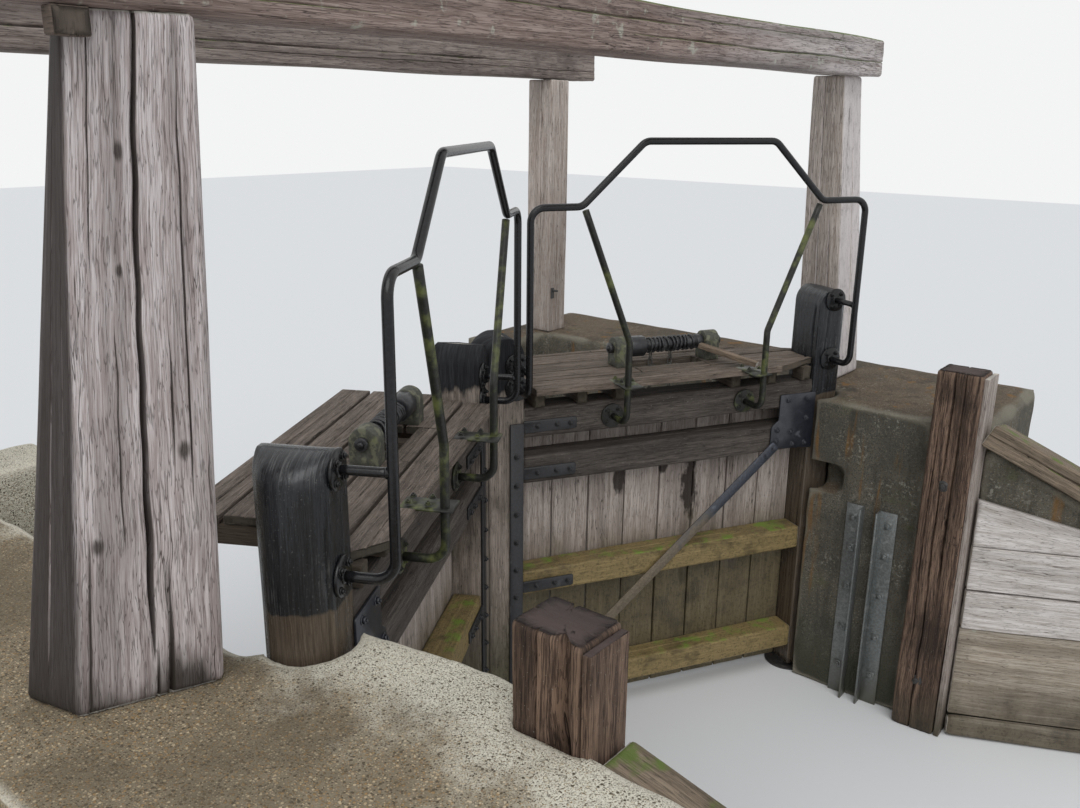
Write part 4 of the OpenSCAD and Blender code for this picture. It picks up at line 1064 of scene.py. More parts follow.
low_beam = beam(-2.558, 2.282, 0.071, 0.200, 4.4, [(2.35, 0.1, 0.62, 0.004, 0.02, 0.012),
                                                   (2.62, 0.45, 1.0, 0.004, 0.022, 0.012),
                                                   (2.2, 0.5, 0.95, 0.003, 0.012, 0.01),
                                                   (2.75, 0.02, 0.3, 0.003, 0.014, 0.01),
                                                   (1.5, 0.0, 0.9, 0.006, 0.03, 0.02),
                                                   (3.5, 0.2, 0.9, 0.004, 0.015, 0.012)])
up_beam = beam(-2.454, 2.454, 2.166, 0.202, 5.4, [(2.5, 0.0, 0.9, 0.005, 0.025, 0.015),
                                                  (2.7, 0.3, 1.0, 0.003, 0.012, 0.01),
                                                  (1.4, 0.1, 1.0, 0.006, 0.03, 0.02)])
packing = timber(bank_place([2.3115, -0.029, 3.417], NEAR), bank_place([2.3115, 0.013, 3.417], NEAR),
                 (1, 0, 0), 0.085, 0.060, rings=10, around=28, radius=0.005, seed=5.0, ridge=0.001)
piece("downstream_portal_beam", [low_beam], M["beam_low"], "lock_walls", ["downstream_beam"])
piece("upstream_portal_beam", [up_beam], M["beam_up"], "lock_walls", ["upstream_beam"])
piece("beam_end_packing", [packing], M["cleat"], "lock_walls", ["beam_cleats"])

# %% [markdown]
# ## The leaves
# Each leaf is a frame of two posts and four rails, with upright boards behind. The heel post is round where
# it turns against the quoin and its head stands clear as a barrel topped block. The mitre posts meet on cut
# faces.


# %% Leaf posts
POST_FOOT = 0.045


def headed_post(u0, u1, plan, radius, z1, seed, side, front):
    """A post with a barrel shaped head over a plan in u and v. The head's rings shrink in u along a half
    circle, and the post's foot is flat. A check of the front is (run, from, to, width, depth)."""
    corners, s_row = resample(rounded(plan, radius), 0.007)
    r = (u1 - u0) / 2
    centre = (u0 + u1) / 2
    base_z = z1 - r
    low = np.linspace(POST_FOOT, base_z, 60)
    arc = np.linspace(0, math.pi / 2, 16)[1:]
    z = np.concatenate([[POST_FOOT] * 3, low[1:], base_z + (r - 0.002) * np.sin(arc)])
    half = np.concatenate([np.full(len(low) + 2, r), r * np.cos(arc)])
    half[-1] = r * 0.10
    squeeze = half / r
    shrink = np.ones(len(z))
    shrink[:3] = (0.0, 0.6, 0.97)
    U = centre + (corners[None, :, 0] - centre) * squeeze[:, None] * shrink[:, None]
    V = corners[None, :, 1] * (0.55 + 0.45 * np.minimum(1, squeeze * 6))[:, None] * shrink[:, None]
    Z = np.repeat(z[:, None], len(corners), 1)
    tangent = np.roll(corners, -1, 0) - np.roll(corners, 1, 0)
    normal = np.stack([tangent[:, 1], -tangent[:, 0]], -1)
    normal /= np.maximum(np.linalg.norm(normal, axis=1), 1e-9)[:, None]
    ridges = 0.0013 * layered(np.stack([U + seed, V, Z * 0.055], -1), 38, seed, 2)
    out = ridges + 0.003 * noise(np.stack([U, V, Z * 0.3], -1), 6, seed) - 0.0025
    for s_at, za, zb, width, depth in front:
        line = s_at + 0.012 * noise(np.stack([z * 3, z * 0 + seed, z * 0], -1), 1.0, seed)
        taper = np.clip((z - za) / 0.1, 0, 1) * np.clip((zb - z) / 0.1, 0, 1)
        out -= depth * taper[:, None] * np.exp(-(((s_row[None, :-1] - line[:, None]) / width) ** 2))
    out = out * (np.minimum(1, squeeze * 3) * (shrink > 0.9))[:, None]
    grid = np.stack([U + normal[None, :, 0] * out, V + normal[None, :, 1] * out, Z], -1)
    run = z.copy()
    run[len(low) + 2:] = base_z + r * arc
    s = np.repeat(s_row[None], len(z), 0) + seed
    l = np.repeat(run[:, None], len(s_row), 1) + seed * 2
    return placed(wrapped(grid, s, l, np.zeros(grid.shape[:2])), leaf_place, side)


def resample(points, step):
    """Points of a closed outline at even steps no longer than step, with its own corners kept, and the run to
    each."""
    points = np.asarray(points, float)
    out = []
    for a, b in zip(points, np.roll(points, -1, 0)):
        count = max(1, int(np.ceil(np.linalg.norm(b - a) / step)))
        out.append(a + (b - a) * (np.arange(count) / count)[:, None])
    out = np.concatenate(out)
    run = np.concatenate([[0], np.cumsum(np.linalg.norm(np.roll(out, -1, 0) - out, axis=1))])
    return out, run


def rounded(points, r, count=5):
    """Corners of an outline replaced by small arcs drawn as quadratic curves."""
    points = np.asarray(points, float)
    out = []
    for a, b, c in zip(np.roll(points, 1, 0), points, np.roll(points, -1, 0)):
        ra = min(r, np.linalg.norm(a - b) * 0.45)
        rc = min(r, np.linalg.norm(c - b) * 0.45)
        p0 = b + (a - b) / np.linalg.norm(a - b) * ra
        p1 = b + (c - b) / np.linalg.norm(c - b) * rc
        t = np.linspace(0, 1, count)[:, None]
        out.append((1 - t) ** 2 * p0 + 2 * t * (1 - t) * b + t**2 * p1)
    return np.concatenate(out)


MITRE_GAP = 0.003


def mitre_u(v):
    return (PIVOT_X - MITRE_GAP - v * SIN) / COS


reach = math.acos(0.088 / 0.131)
quoin = np.linspace(math.pi - reach, math.pi + reach, 24)[1:-1, None]
heel_plan = np.concatenate([[[0.088, -0.115], [0.088, 0.115], [-0.0627, 0.115]],
                            0.131 * np.concatenate([np.cos(quoin), np.sin(quoin)], 1), [[-0.0627, -0.115]]])
mitre_plan = [(1.806, -0.115), (mitre_u(-0.115) - 0.110, -0.115), (mitre_u(-0.02), -0.02),
              (mitre_u(0.115), 0.115), (1.806, 0.115)]
for side in (FAR, NEAR):
    name = SIDES[side]
    heel = headed_post(-0.088, 0.088, heel_plan, 0.010, 2.335, 21.0 + side, side, [
        (0.20, 0.9, 2.3, 0.004, 0.012), (0.30, 1.7, 2.3, 0.003, 0.010), (0.40, 1.2, 2.2, 0.004, 0.012)])
    pin = placed(turned_part(bevelled(0.0295, 0.034, 0.002), (0, 0, 0.0115), (0, 0, 1), 24), leaf_place, side)
    post = headed_post(1.806, mitre_u(0.115), mitre_plan, 0.006, 2.200, 23.0 + side, side,
                       [(0.36, 0.6, 2.1, 0.004, 0.014)])
    leaf = f"{name}_leaf"
    piece(f"{name}_heel_post_timber", [heel, pin], M["heel_" + name], leaf, [f"{name}_heel_post"])
    piece(f"{name}_mitre_post_timber", [post], M["mitre"], leaf, [f"{name}_mitre_post"])

# %% [markdown]
# The rails are bolted through, the second and third stand proud of the boards, and worn upper edges hold
# moss. The boards are rough sawn with open joints, so each board is a timber of its own, with its own width
# and tilt.

# %% Rails and boards
RAILS = [(1.685, 0.155, 0.004), (1.435, 0.155, 0.010), (0.815, 0.138, 0.008), (0.170, 0.132, 0.008)]


def leaf_timber(a, b, across, w, d, side, **more):
    return placed(timber(a, b, across, w, d, **more), leaf_place, side)


for side in (FAR, NEAR):
    name = SIDES[side]
    rails = []
    for k, (z, h, r) in enumerate(RAILS):
        checks = [(1.4 + 0.1 * k, 0.1, 0.7, 0.003, 0.014, 0.01), (1.62, 0.45, 1.0, 0.0035, 0.02, 0.01),
                  (0.5, 0.2, 0.8, 0.003, 0.012, 0.01)]
        rails.append(leaf_timber((0.0885, 0.0425, z + h / 2), (1.8055, 0.0425, z + h / 2), (0, 0, 1),
                                 h - 0.003, 0.142, side, rings=100, around=52, radius=0.005 + r,
                                 seed=9.1 + k + side, ridge=0.0013, waney=0.004, checks=checks))
    boards = []
    pitch = (1.7174 + 0.004) / 8
    rng = np.random.default_rng(8 + side)
    for i in range(8):
        u = 0.0883 + i * pitch + (pitch - 0.004) / 2
        lean = rng.uniform(-0.002, 0.002)
        width = pitch - 0.006 - rng.uniform(0, 0.004)
        boards.append(leaf_timber((u, -0.0503 + lean, 0.0455), (u, -0.0503 - lean * 0.5, 1.8095), (1, 0, 0),
                                  width, 0.035, side, rings=44, around=30, radius=0.004,
                                  seed=40.7 + i * 1.3 + side, ridge=0.0009, waney=0.0025))
    piece(f"{name}_leaf_rails", rails, M["rails"], f"{name}_leaf", [f"{name}_rails"])
    piece(f"{name}_leaf_boards", boards, M["boards"], f"{name}_leaf", [f"{name}_boards"])

# %% [markdown]
# ## The walkways
# Five planks lie on bearers that cross the top rail. Their ends were cut on the spot: the heel ends are
# slanted to swing past the portal posts. Each plank is clipped to the walkway's outline, so its ends follow
# that cut.

# %% Planks
NEAR_PLAN = [(0.133, 0.092), (0.300, 0.190), (1.872, 0.190), (1.872, -0.583), (0.330, -0.583),
             (0.335, -0.272), (0.126, -0.060)]
FAR_PLAN = [(0.096, 0.092), (0.330, 0.156), (0.440, 0.190), (1.872, 0.190), (1.872, -0.487), (0.900, -0.487),
            (0.530, -0.357), (0.270, -0.226), (0.140, -0.210), (0.096, -0.160)]
DECK_PLANS = {FAR: FAR_PLAN, NEAR: NEAR_PLAN}
WINDLASS_U = {FAR: 0.600, NEAR: 0.850}
MITRE_POST_U, STRAP_U = 1.797, 1.771


def crossings(plan, v):
    """The lowest and highest u where a walkway's outline has the depth v."""
    found = []
    for (u0, v0), (u1, v1) in zip(plan, plan[1:] + plan[:1]):
        if (v0 - v) * (v1 - v) <= 0 and abs(v1 - v0) > 1e-9:
            found.append(u0 + (u1 - u0) * (v - v0) / (v1 - v0))
    return min(found), max(found)


def plank(plan, v0, v1, hole, seed, side):
    """One plank between two depths, as runs of u that leave out the chain hole and the posts."""
    depths = [p[1] for p in plan]
    v0, v1 = max(v0, min(depths) + 1e-4), min(v1, max(depths) - 1e-4)
    start, stop = crossings(plan, (v0 + v1) / 2)
    slope = (crossings(plan, v1 - 1e-4)[0] - crossings(plan, v0 + 1e-4)[0]) / (v1 - v0)
    h0, h1, hv0, hv1 = hole
    runs = [(start, stop, slope, v0, v1)]
    if v0 < hv1 and v1 > hv0:
        runs = [(start, h0 - 0.003, slope, v0, v1), (h1 + 0.003, stop, 0.0, v0, v1)]
        if v0 < hv0 - 0.03:
            runs.append((h0 + 0.002, h1 - 0.002, 0.0, v0, hv0))
        if v1 > hv1 + 0.03:
            runs.append((h0 + 0.002, h1 - 0.002, 0.0, hv1, v1))
    parts = []
    for n, (u0, u1, slant, low, high) in enumerate(runs):
        if u1 > 1.79 and high > 0.12:
            u1 = STRAP_U if low < 0.112 else u1
        elif u1 > 1.79 and high > -0.12:
            u1 = MITRE_POST_U
        if high - low < 0.02 or u1 - u0 < 0.02:
            continue
        checks = [(1.5 + 0.12 * math.sin(seed * 3), 0.0, 0.5, 0.003, 0.008, 0.008),
                  (1.42 + 0.1 * math.cos(seed * 5), 0.35, 1.0, 0.0028, 0.008, 0.01),
                  (3.5, 0.1, 0.8, 0.003, 0.006, 0.01)]
        v, z = (low + high) / 2, DECK - 0.0175
        parts.append(leaf_timber((u0, v, z), (u1, v, z), (0, 1, 0), high - low - 0.003, 0.034, side, rings=76,
                                 around=36, radius=0.0045, seed=seed + n * 0.7, ridge=0.0011, waney=0.0016,
                                 checks=checks, slant=slant))
    return parts


for side in (FAR, NEAR):
    name = SIDES[side]
    bu = WINDLASS_U[side]
    hole = (bu + 0.102, bu + 0.518, -0.178, -0.054)
    planks, bearers = [], []
    for i in range(5):
        top = 0.190 - i * 0.157
        planks += plank(DECK_PLANS[side], top - 0.145, top, hole, 11.3 + 2.1 * i + side, side)
    back = -0.583 if side == NEAR else -0.483
    for u, v in ((0.372, back + 0.02), (0.600, back + 0.02), (1.290, back + 0.015), (1.500, back + 0.015),
                 (1.730, back + 0.015), (0.150, 0.040)):
        bearers.append(leaf_timber((u, v, 1.8785), (u, 0.130, 1.8785), (1, 0, 0), 0.058, 0.0755, side,
                                   rings=26, around=26, radius=0.004, seed=13.0 + u + side, ridge=0.001))
    piece(f"{name}_walkway_planks", planks, M["deck_" + name], f"{name}_leaf", [f"{name}_deck"])
    piece(f"{name}_walkway_bearers", bearers, M["bearers"], f"{name}_leaf", [f"{name}_bearers"])

# %% [markdown]
# ## The tube rails
# One length of steel tube is bent into a hump backed frame and welded to round flanges, which are bolted to
# the heel and mitre posts. Two thinner looking stays slope from its shoulders to the top rail through plates
# on the walkway.

# %% Rails and stays
RAIL_U = [-0.008, 0.262, 0.568, 1.280, 1.593, 1.846]
LOW, SHOULDER, HUMP = DECK - 0.005, DECK + 0.878, DECK + 1.168
TUBE_R, TUBE_V, WELD_V = 0.01685, 0.282, 0.1265
SEAT = 0.0003
UP = np.array([0.0, 0.0, 1.0])
OUT = {side: leaf_place([0, 1, 0], side) - leaf_place([0, 0, 0], side) for side in SIDES}
ALONG = {side: leaf_place([1, 0, 0], side) - leaf_place([0, 0, 0], side) for side in SIDES}


def flange(u, z, side):
    """A round flange on the face of a post, with a weld bead round the tube and four bolts."""
    at = leaf_place([u, FACE + SEAT, z], side)
    bead = [(TIP, 0.009), (0.0235, 0.0095), (0.0225, 0.0125), (0.0172, 0.0155), (TIP, 0.0155)]
    parts = [turned_part(bevelled(0.0625, 0.0097, 0.0016), at, OUT[side], 40),
             turned_part(bead, at, OUT[side], 24)]
    for k in range(4):
        angle = math.pi / 4 + k * math.pi / 2
        spot = at + OUT[side] * 0.0095 + (ALONG[side] * math.cos(angle) + UP * math.sin(angle)) * 0.045
        parts += bolt(spot, OUT[side], 0.0075, 0.0125)
    return parts


for side in (FAR, NEAR):
    name = SIDES[side]
    corners = [(RAIL_U[0], WELD_V, LOW), (RAIL_U[0], TUBE_V, LOW)]
    corners += [(u, TUBE_V, z) for u, z in zip(RAIL_U, (SHOULDER, SHOULDER, HUMP, HUMP, SHOULDER, SHOULDER))]
    corners += [(RAIL_U[5], TUBE_V, LOW), (RAIL_U[5], WELD_V, LOW)]
    parts = [tube(leaf_place(rounded_path(corners, 0.066), side), TUBE_R, 24)]
    weld = [(TIP, 0), (0.0185, 0.001), (0.0172, 0.004), (0.0149, 0.0065), (TIP, 0.007)]
    for u, z in ((RAIL_U[0], DECK + 0.325), (RAIL_U[5], DECK + 0.110)):
        stub = np.linspace([u, WELD_V, z], [u, TUBE_V - 0.004, z], 6)
        parts.append(tube(leaf_place(stub, side), 0.0148, 20))
        parts.append(turned_part(weld, leaf_place([u, TUBE_V - 0.0155, z], side), -OUT[side], 20))
        parts += flange(u, z, side) + flange(u, LOW, side)
    piece(f"{name}_tube_rail", parts, M["tube"], f"{name}_leaf", [f"{name}_handrail"])
    stays = []
    for u_top, u_low, u0 in ((0.272, 0.535, 0.505), (1.583, 1.325, 1.250)):
        top, knee = np.array([u_top, TUBE_V, SHOULDER]), np.array([u_low, TUBE_V, DECK + 0.225])
        first = top + (knee - top) / np.linalg.norm(knee - top) * 0.0185
        path = rounded_path([first, knee, [u_low, TUBE_V, 1.757], [u_low, WELD_V, 1.757]], 0.064)
        stays.append(tube(leaf_place(path, side), TUBE_R * 0.985, 22))
        stays += flange(u_low, 1.757, side)
        spot = leaf_place([u0, 0.125, DECK + SEAT], side)
        if side == FAR:
            stays.append(plate(bar(0, 0.190, 0, 0.105), spot, OUT[side], ALONG[side], 0.009, 0.002))
        else:
            stays.append(plate(bar(0, 0.105, 0, 0.190), spot, ALONG[side], OUT[side], 0.009, 0.002))
        for du, dv in ((0.022, 0.03), (0.083, 0.03), (0.022, 0.10), (0.083, 0.10)):
            stays += bolt(leaf_place([u0 + du, 0.125 + dv, DECK + 0.0088], side), UP, 0.008, 0.013)
    piece(f"{name}_rail_stays", stays, M["stay"], f"{name}_leaf", [f"{name}_stays"])

# %% [markdown]
# ## Straps and plates
# Flat iron ties the frame of the leaf: a gusset at the heel, a strip with arms at the mitre, and a long
# diagonal strap in tension that keeps the leaf from sagging. They are fixed with square headed coach bolts.

# %% Ironwork of the leaves
def fixed_outline(points):
    """The outline turned counter clockwise, as plates need it."""
    p = np.asarray(points, float)
    area = np.sum(p[:, 0] * np.roll(p[:, 1], -1) - np.roll(p[:, 0], -1) * p[:, 1])
    return p if area > 0 else p[::-1]


def wall_plate(outline_uz, radius, count, v, thick, side):
    """A plate on the downstream face of a leaf, with its outline's corners rounded."""
    pts = fixed_outline(rounded(outline_uz, radius, count))
    origin = leaf_place([0, v, 0], side)
    if np.dot(np.cross(ALONG[side], UP), OUT[side]) > 0:
        return plate(pts, origin, ALONG[side], UP, thick)
    return plate(fixed_outline(pts[:, ::-1]), origin, UP, ALONG[side], thick)


def coach_bolts(spots, v, size, washer, side):
    return [made for u, z in spots for made in bolt(leaf_place([u, v, z], side), OUT[side], size, washer)]


GUSSET = [(0.068, 1.440), (0.345, 1.460), (0.345, 1.585), (0.300, 1.620), (0.300, 1.765), (0.068, 1.765)]
GUSSET_BOLTS = [(0.12, 1.735), (0.25, 1.735), (0.12, 1.62), (0.22, 1.55), (0.31, 1.50), (0.31, 1.565),
                (0.12, 1.475), (0.20, 1.475)]
for side in (FAR, NEAR):
    name = SIDES[side]
    leaf = f"{name}_leaf"
    parts = [wall_plate(GUSSET, 0.012, 4, FACE + SEAT, 0.009, side)]
    parts += coach_bolts(GUSSET_BOLTS, FACE + 0.009, 0.011, 0.017, side)
    piece(f"{name}_heel_gusset", parts, M["plate"], leaf, [f"{name}_heel_plate"])
    parts = [wall_plate(bar(1.810, 1.882, 0.105, 1.765), 0.004, 3, FACE + SEAT, 0.009, side)]
    for z in (1.713, 1.467, 0.837, 0.192):
        parts.append(wall_plate(bar(1.525, 1.811, z, z + 0.062), 0.010, 4, FACE + SEAT, 0.0087, side))
        parts += coach_bolts([(u, z + 0.031) for u in (1.555, 1.63, 1.735)], FACE + 0.0088, 0.010, 0.015,
                             side)
    parts += coach_bolts([(1.846, z) for z in np.arange(0.20, 1.75, 0.155)], FACE + 0.009, 0.010, 0.016, side)
    piece(f"{name}_mitre_strip", parts, M["strip"], leaf, [f"{name}_mitre_strap"])
    a, b = np.array([0.340, 1.455]), np.array([1.736, 0.230])
    way = (b - a) / np.linalg.norm(b - a)
    across = np.array([-way[1], way[0]]) * 0.029
    first, last = a - way * 0.04, b + way * 0.04
    strap = [first - across, last - across, last + across, first + across]
    parts = [wall_plate(strap, 0.016, 5, FACE + 0.0096, 0.009, side)]
    spots = [a - way * 0.015, a + way * 0.04, b - way * 0.04, b + way * 0.015]
    parts += coach_bolts(spots, FACE + 0.0182, 0.011, 0.017, side)
    piece(f"{name}_diagonal_tie", parts, M["diagonal"], leaf, [f"{name}_diagonal"])

# %% [markdown]
# ## Windlass, chain and paddle
# A short barrel turns in two bearing blocks on the walkway. Chains wind on it and lift the paddle board
# behind the leaf. Its eight sided head has sockets for the handspike, a stout ash lever.

# %% Windlasses
CHAIN_V, BARREL_Z = -0.116, DECK + 0.098
BLOCK_R = 0.057
GUARD_V = -0.0703


def block_part(u, side):
    """A bearing block: a square foot and a half round top, carried 82 mm along the leaf."""
    angle = np.linspace(0, math.pi, 25)
    arch = np.stack([BLOCK_R * np.cos(angle), BARREL_Z + BLOCK_R * np.sin(angle)], -1)
    plan = np.concatenate([[[-BLOCK_R, DECK + 0.0005], [BLOCK_R, DECK + 0.0005]], arch])
    around, run = resample(rounded(plan, 0.004, 3), 0.008)
    t = np.concatenate([[0, 0, 0, 0.002], np.linspace(0.004, 0.078, 9), [0.080, 0.082, 0.082, 0.082]])
    shrink = np.array([0.0, 0.6, 0.955, 1] + [1] * 9 + [1, 0.955, 0.6, 0.0])[:, None]
    middle = DECK + 0.06
    U = np.repeat((u + t)[:, None], len(around), 1)
    V = CHAIN_V + around[None, :, 0] * shrink
    grid = np.stack([U, V, middle + (around[None, :, 1] - middle) * shrink], -1)
    grid[..., 1] += 0.001 * noise(grid, 40, 3.0) * (shrink > 0.9)
    s = np.repeat(run[None], len(t), 0)
    l = np.repeat(t[:, None], len(run), 1)
    return placed(wrapped(grid, s, l, np.zeros(grid.shape[:2])), leaf_place, side)


def link_path(turn_angle):
    """The middle line of a chain link: two half circles joined by straight sides."""
    angle = np.linspace(0, 2 * math.pi, 28, endpoint=False)
    x = 0.0105 * np.cos(angle)
    z = 0.0105 * np.sin(angle) + np.where(np.sin(angle) >= 0, 0.018, -0.018)
    return np.stack([x * math.cos(turn_angle), x * math.sin(turn_angle), z], -1)


CORE = [(TIP, -0.026), (0.016, -0.026), (0.018, -0.022), (0.018, -0.0205), (0.018, 0.0845), (0.036, 0.085),
        (0.038, 0.088), (0.038, 0.122), (0.036, 0.1249), (0.031, 0.126), (0.0305, 0.20), (0.0310, 0.27),
        (0.0303, 0.34), (0.031, 0.437), (0.018, 0.4375), (0.018, 0.642), (0.016, 0.646), (TIP, 0.646)]
HEAD = [(TIP, 0.438), (0.036, 0.438), (0.0535, 0.4385), (0.0562, 0.442), (0.0562, 0.531), (0.0535, 0.535),
        (0.036, 0.5352), (TIP, 0.5352)]
RING = [(TIP, 0), (0.024, 0.0), (0.026, 0.002), (0.026, 0.020), (0.024, 0.022), (TIP, 0.022)]
NUT = [(TIP, 0), (0.013, 0), (0.013, 0.010), (0.011, 0.012), (TIP, 0.012)]
for side in (FAR, NEAR):
    name = SIDES[side]
    bu = WINDLASS_U[side]
    blocks = [block_part(u, side) for u in (bu, bu + 0.538)]
    along = ALONG[side]
    base = leaf_place([bu, CHAIN_V, BARREL_Z], side)
    parts = [turned_part(CORE, base, along, 40), turned_part(HEAD, base, along, 8, math.pi / 8)]
    for start, way in ((-0.026, 1), (0.646, -1)):
        parts.append(turned_part(RING, base + along * start, along * way, 28))
        parts.append(turned_part(NUT, base + along * (start - way * 0.008), along * way, 6))
    spiral = np.linspace(0, 2 * math.pi, 24, endpoint=False)
    for k in range(11):
        u = bu + 0.150 + 0.0255 * k + 0.0035 * math.sin(k * 2.1) + 0.006 * np.sin(spiral + k)
        loop = np.stack([u, CHAIN_V + 0.0375 * np.cos(spiral), BARREL_Z + 0.0375 * np.sin(spiral)], -1)
        parts.append(tube(leaf_place(loop, side), 0.0062 + 0.0012 * np.sin(spiral * 7 + k), 8, closed=True))
    pitch = 0.066 - 0.030 + 2 * (0.006 * math.sqrt(2) - 0.0045) - 0.0006
    links = []
    for u in (bu + 0.250, bu + 0.370):
        for k in range(9):
            path = link_path(k % 2 * math.pi / 2) + [u, CHAIN_V - 0.041, BARREL_Z - 0.020 - k * pitch]
            links.append(tube(leaf_place(path, side), 0.0043, 8, closed=True))
    m, v = bu + 0.310, GUARD_V
    guides = [((u, v - 0.030, 0.2005), (u, v - 0.030, 1.5495), (1, 0, 0), 0.048, 0.058, 40, 24, 0.004,
               17.0 + k) for k, u in enumerate((m - 0.185, m + 0.185))]
    gates = [((m - 0.1602, v - 0.020, z), (m + 0.1602, v - 0.020, z), (0, 0, 1), 0.257, 0.038, 30, 30, 0.003,
              18.0 + k) for k, z in enumerate((0.391, 0.651))]
    rod = ((m, v - 0.021, 0.7805), (m, v - 0.021, 1.652), (1, 0, 0), 0.046, 0.040, 30, 24, 0.004, 19.0)
    tie_ends = (m - 0.090, v - 0.052, 1.6315), (m + 0.090, v - 0.052, 1.6315)
    tie = (*tie_ends, (0, 0, 1), 0.038, 0.082, 16, 26, 0.004, 20.0)
    timbers = []
    for start, end, across, w, d, rings, around, radius, seed in guides + gates + [rod, tie]:
        timbers.append(leaf_timber(start, end, across, w, d, side, rings=rings, around=around, radius=radius,
                                   seed=seed + side))
    leaf = f"{name}_leaf"
    piece(f"{name}_bearing_blocks", blocks, M["block"], leaf, [f"{name}_blocks"])
    piece(f"{name}_barrel_iron", parts, M["barrel"], f"{name}_windlass", [f"{name}_barrel"])
    piece(f"{name}_paddle_chains", links, M["chain"], leaf, [f"{name}_chain"])
    piece(f"{name}_paddle_timber", timbers, M["paddle"], leaf, [f"{name}_paddle"])

tilt, swing = math.radians(11.2), math.radians(39)
spike_dir = np.array([-math.sin(swing) * math.cos(tilt), math.cos(swing) * math.cos(tilt), -math.sin(tilt)])
side_dir = np.array([math.cos(swing), math.sin(swing), 0.0])
middle = np.array([0.738, CHAIN_V, BARREL_Z - 0.002]) + side_dir * 0.019
lever = leaf_timber(middle + spike_dir * 0.0515, middle + spike_dir * 0.3825, side_dir, 0.048, 0.0270, FAR,
                    rings=46, around=34, radius=0.005, seed=14.2, ridge=0.0010, waney=0.001,
                    checks=[(1.5, 0.2, 1.0, 0.0025, 0.008, 0.004)])
piece("far_lever", [lever], M["spike"], "far_windlass", ["far_handspike"])

# %% [markdown]
# ## Fender posts, wings and stop plank angles
# Oak fenders stand proud of the wall to take the rub of boats. Facing boards and a cap timber guard the
# wings, which slope down to the lower bank. A pair of galvanised angles on each wall holds stop planks when
# the gates need repair.

# %% Fenders
FENDER_CHECKS = {
    FAR: [(2.42, 0.0, 1.0, 0.005, 0.035, 0.020), (2.66, 0.35, 1.0, 0.006, 0.045, 0.022),
          (2.2, 0.2, 0.9, 0.0035, 0.02, 0.02), (3.45, 0.1, 1.0, 0.005, 0.03, 0.02),
          (3.75, 0.4, 0.95, 0.0035, 0.018, 0.02), (3.2, 0.0, 0.6, 0.003, 0.015, 0.02),
          (0.5, 0.5, 1.0, 0.006, 0.045, 0.015), (1.5, 0.5, 1.0, 0.005, 0.03, 0.015)],
    NEAR: [(0.62, 0.3, 1.0, 0.007, 0.055, 0.02), (0.3, 0.1, 0.95, 0.004, 0.02, 0.02),
           (2.72, 0.35, 1.0, 0.040, 0.11, 0.04), (3.25, 0.1, 0.9, 0.004, 0.02, 0.02),
           (2.35, 0.3, 1.0, 0.004, 0.02, 0.03), (1.5, 0.4, 1.0, 0.006, 0.04, 0.02)],
}
fenders, side_planks, fender_bolts = [], [], []
for side in (FAR, NEAR):
    foot, head = bank_place([[1.645, -0.8505, 0.0005], [1.645, -0.8505, 2.029]], side)
    fenders.append(timber(foot, head, (1, 0, 0), 0.176, 0.223, rings=150, around=96, radius=0.016,
                          seed=7.2 + side, ridge=0.0026, waney=0.008, checks=FENDER_CHECKS[side]))
    foot, head = bank_place([[1.649, -0.978, 0.0005], [1.649, -0.978, 2.016]], side)
    side_planks.append(timber(foot, head, (1, 0, 0), 0.168, 0.026, rings=60, around=40, radius=0.004,
                              seed=7.9 + side, ridge=0.0014, waney=0.002))
    for z in (1.430, 0.300):
        at, out = bank_place([1.5562, -0.842, z], side), np.array([-side, 0.0, 0.0])
        fender_bolts.append(turned_part(bevelled(0.030, 0.0015, 0.0004), at, out, 28))
        fender_bolts += bolt(at, out, 0.015, 0)
piece("fender_post_timbers", fenders + side_planks[1:], M["fender"], "lock_walls", ["fender_posts"])
piece("fender_side_plank", side_planks[:1], M["fender_plank"], "lock_walls", ())
piece("fender_bolts", fender_bolts, M["bolt"], "lock_walls", ())

# %% [markdown]
# The far wing turns 26 degrees away from the channel and its cap timber falls steeply. The near wing runs on
# straight and level behind a lower timber. Both have the same facing boards, and x runs along a wing and y
# into the bank.

# %% Wings
WING_0 = np.array([1.650, -0.992])
WING_TURN = {FAR: math.radians(26), NEAR: 0.0}
WING_BOARDS = ((0.878, 1.124, 0.045, 0.006), (0.657, 0.872, 0.053, 0.006), (0.130, 0.651, 0.030, 0.006),
               (0.001, 0.124, 0.057, 0.024))


def on_wing(points, side):
    """Wing axes to frame: x runs along the wing, which is turned on the far side and straight on the near
    side."""
    cos, sin = math.cos(WING_TURN[side]), math.sin(WING_TURN[side])
    p = np.asarray(points, float)
    x = WING_0[0] + p[..., 0] * sin + p[..., 1] * cos
    y = WING_0[1] - p[..., 0] * cos + p[..., 1] * sin
    return bank_place(np.stack([x, y, p[..., 2]], -1), side)


def sloping_board(side, run):
    """A board with a level lower edge and a sloping upper one, as a grid that goes up its front and down its
    back."""
    count, rows, z_low, seed = 60, 18, 1.128, 15.5
    u = np.linspace(0.004, run - 0.002, count)
    height = (1.377 - 0.235 * u)[:, None] - z_low
    z = z_low + height * np.linspace(0, 1, rows)[None]
    front = np.stack([np.repeat(u[:, None], rows, 1), np.full((count, rows), -0.0445), z], -1)
    back = front[:, ::-1].copy()
    back[..., 1] = -0.0015
    front[..., 1] -= 0.0008 * layered(front * np.array([0.06, 1, 1]), 40, seed, 2)
    grid = np.concatenate([front, back], 1)
    steps = np.linalg.norm(np.diff(grid[30], axis=0), axis=1)
    s = np.repeat(np.concatenate([[0], np.cumsum(steps), [0.5]])[None], count, 0)
    l = np.repeat(u[:, None], 2 * rows + 1, 1) + seed
    return placed(wrapped(grid[:, ::-1], s, l, np.zeros((count, 2 * rows))), on_wing, side)


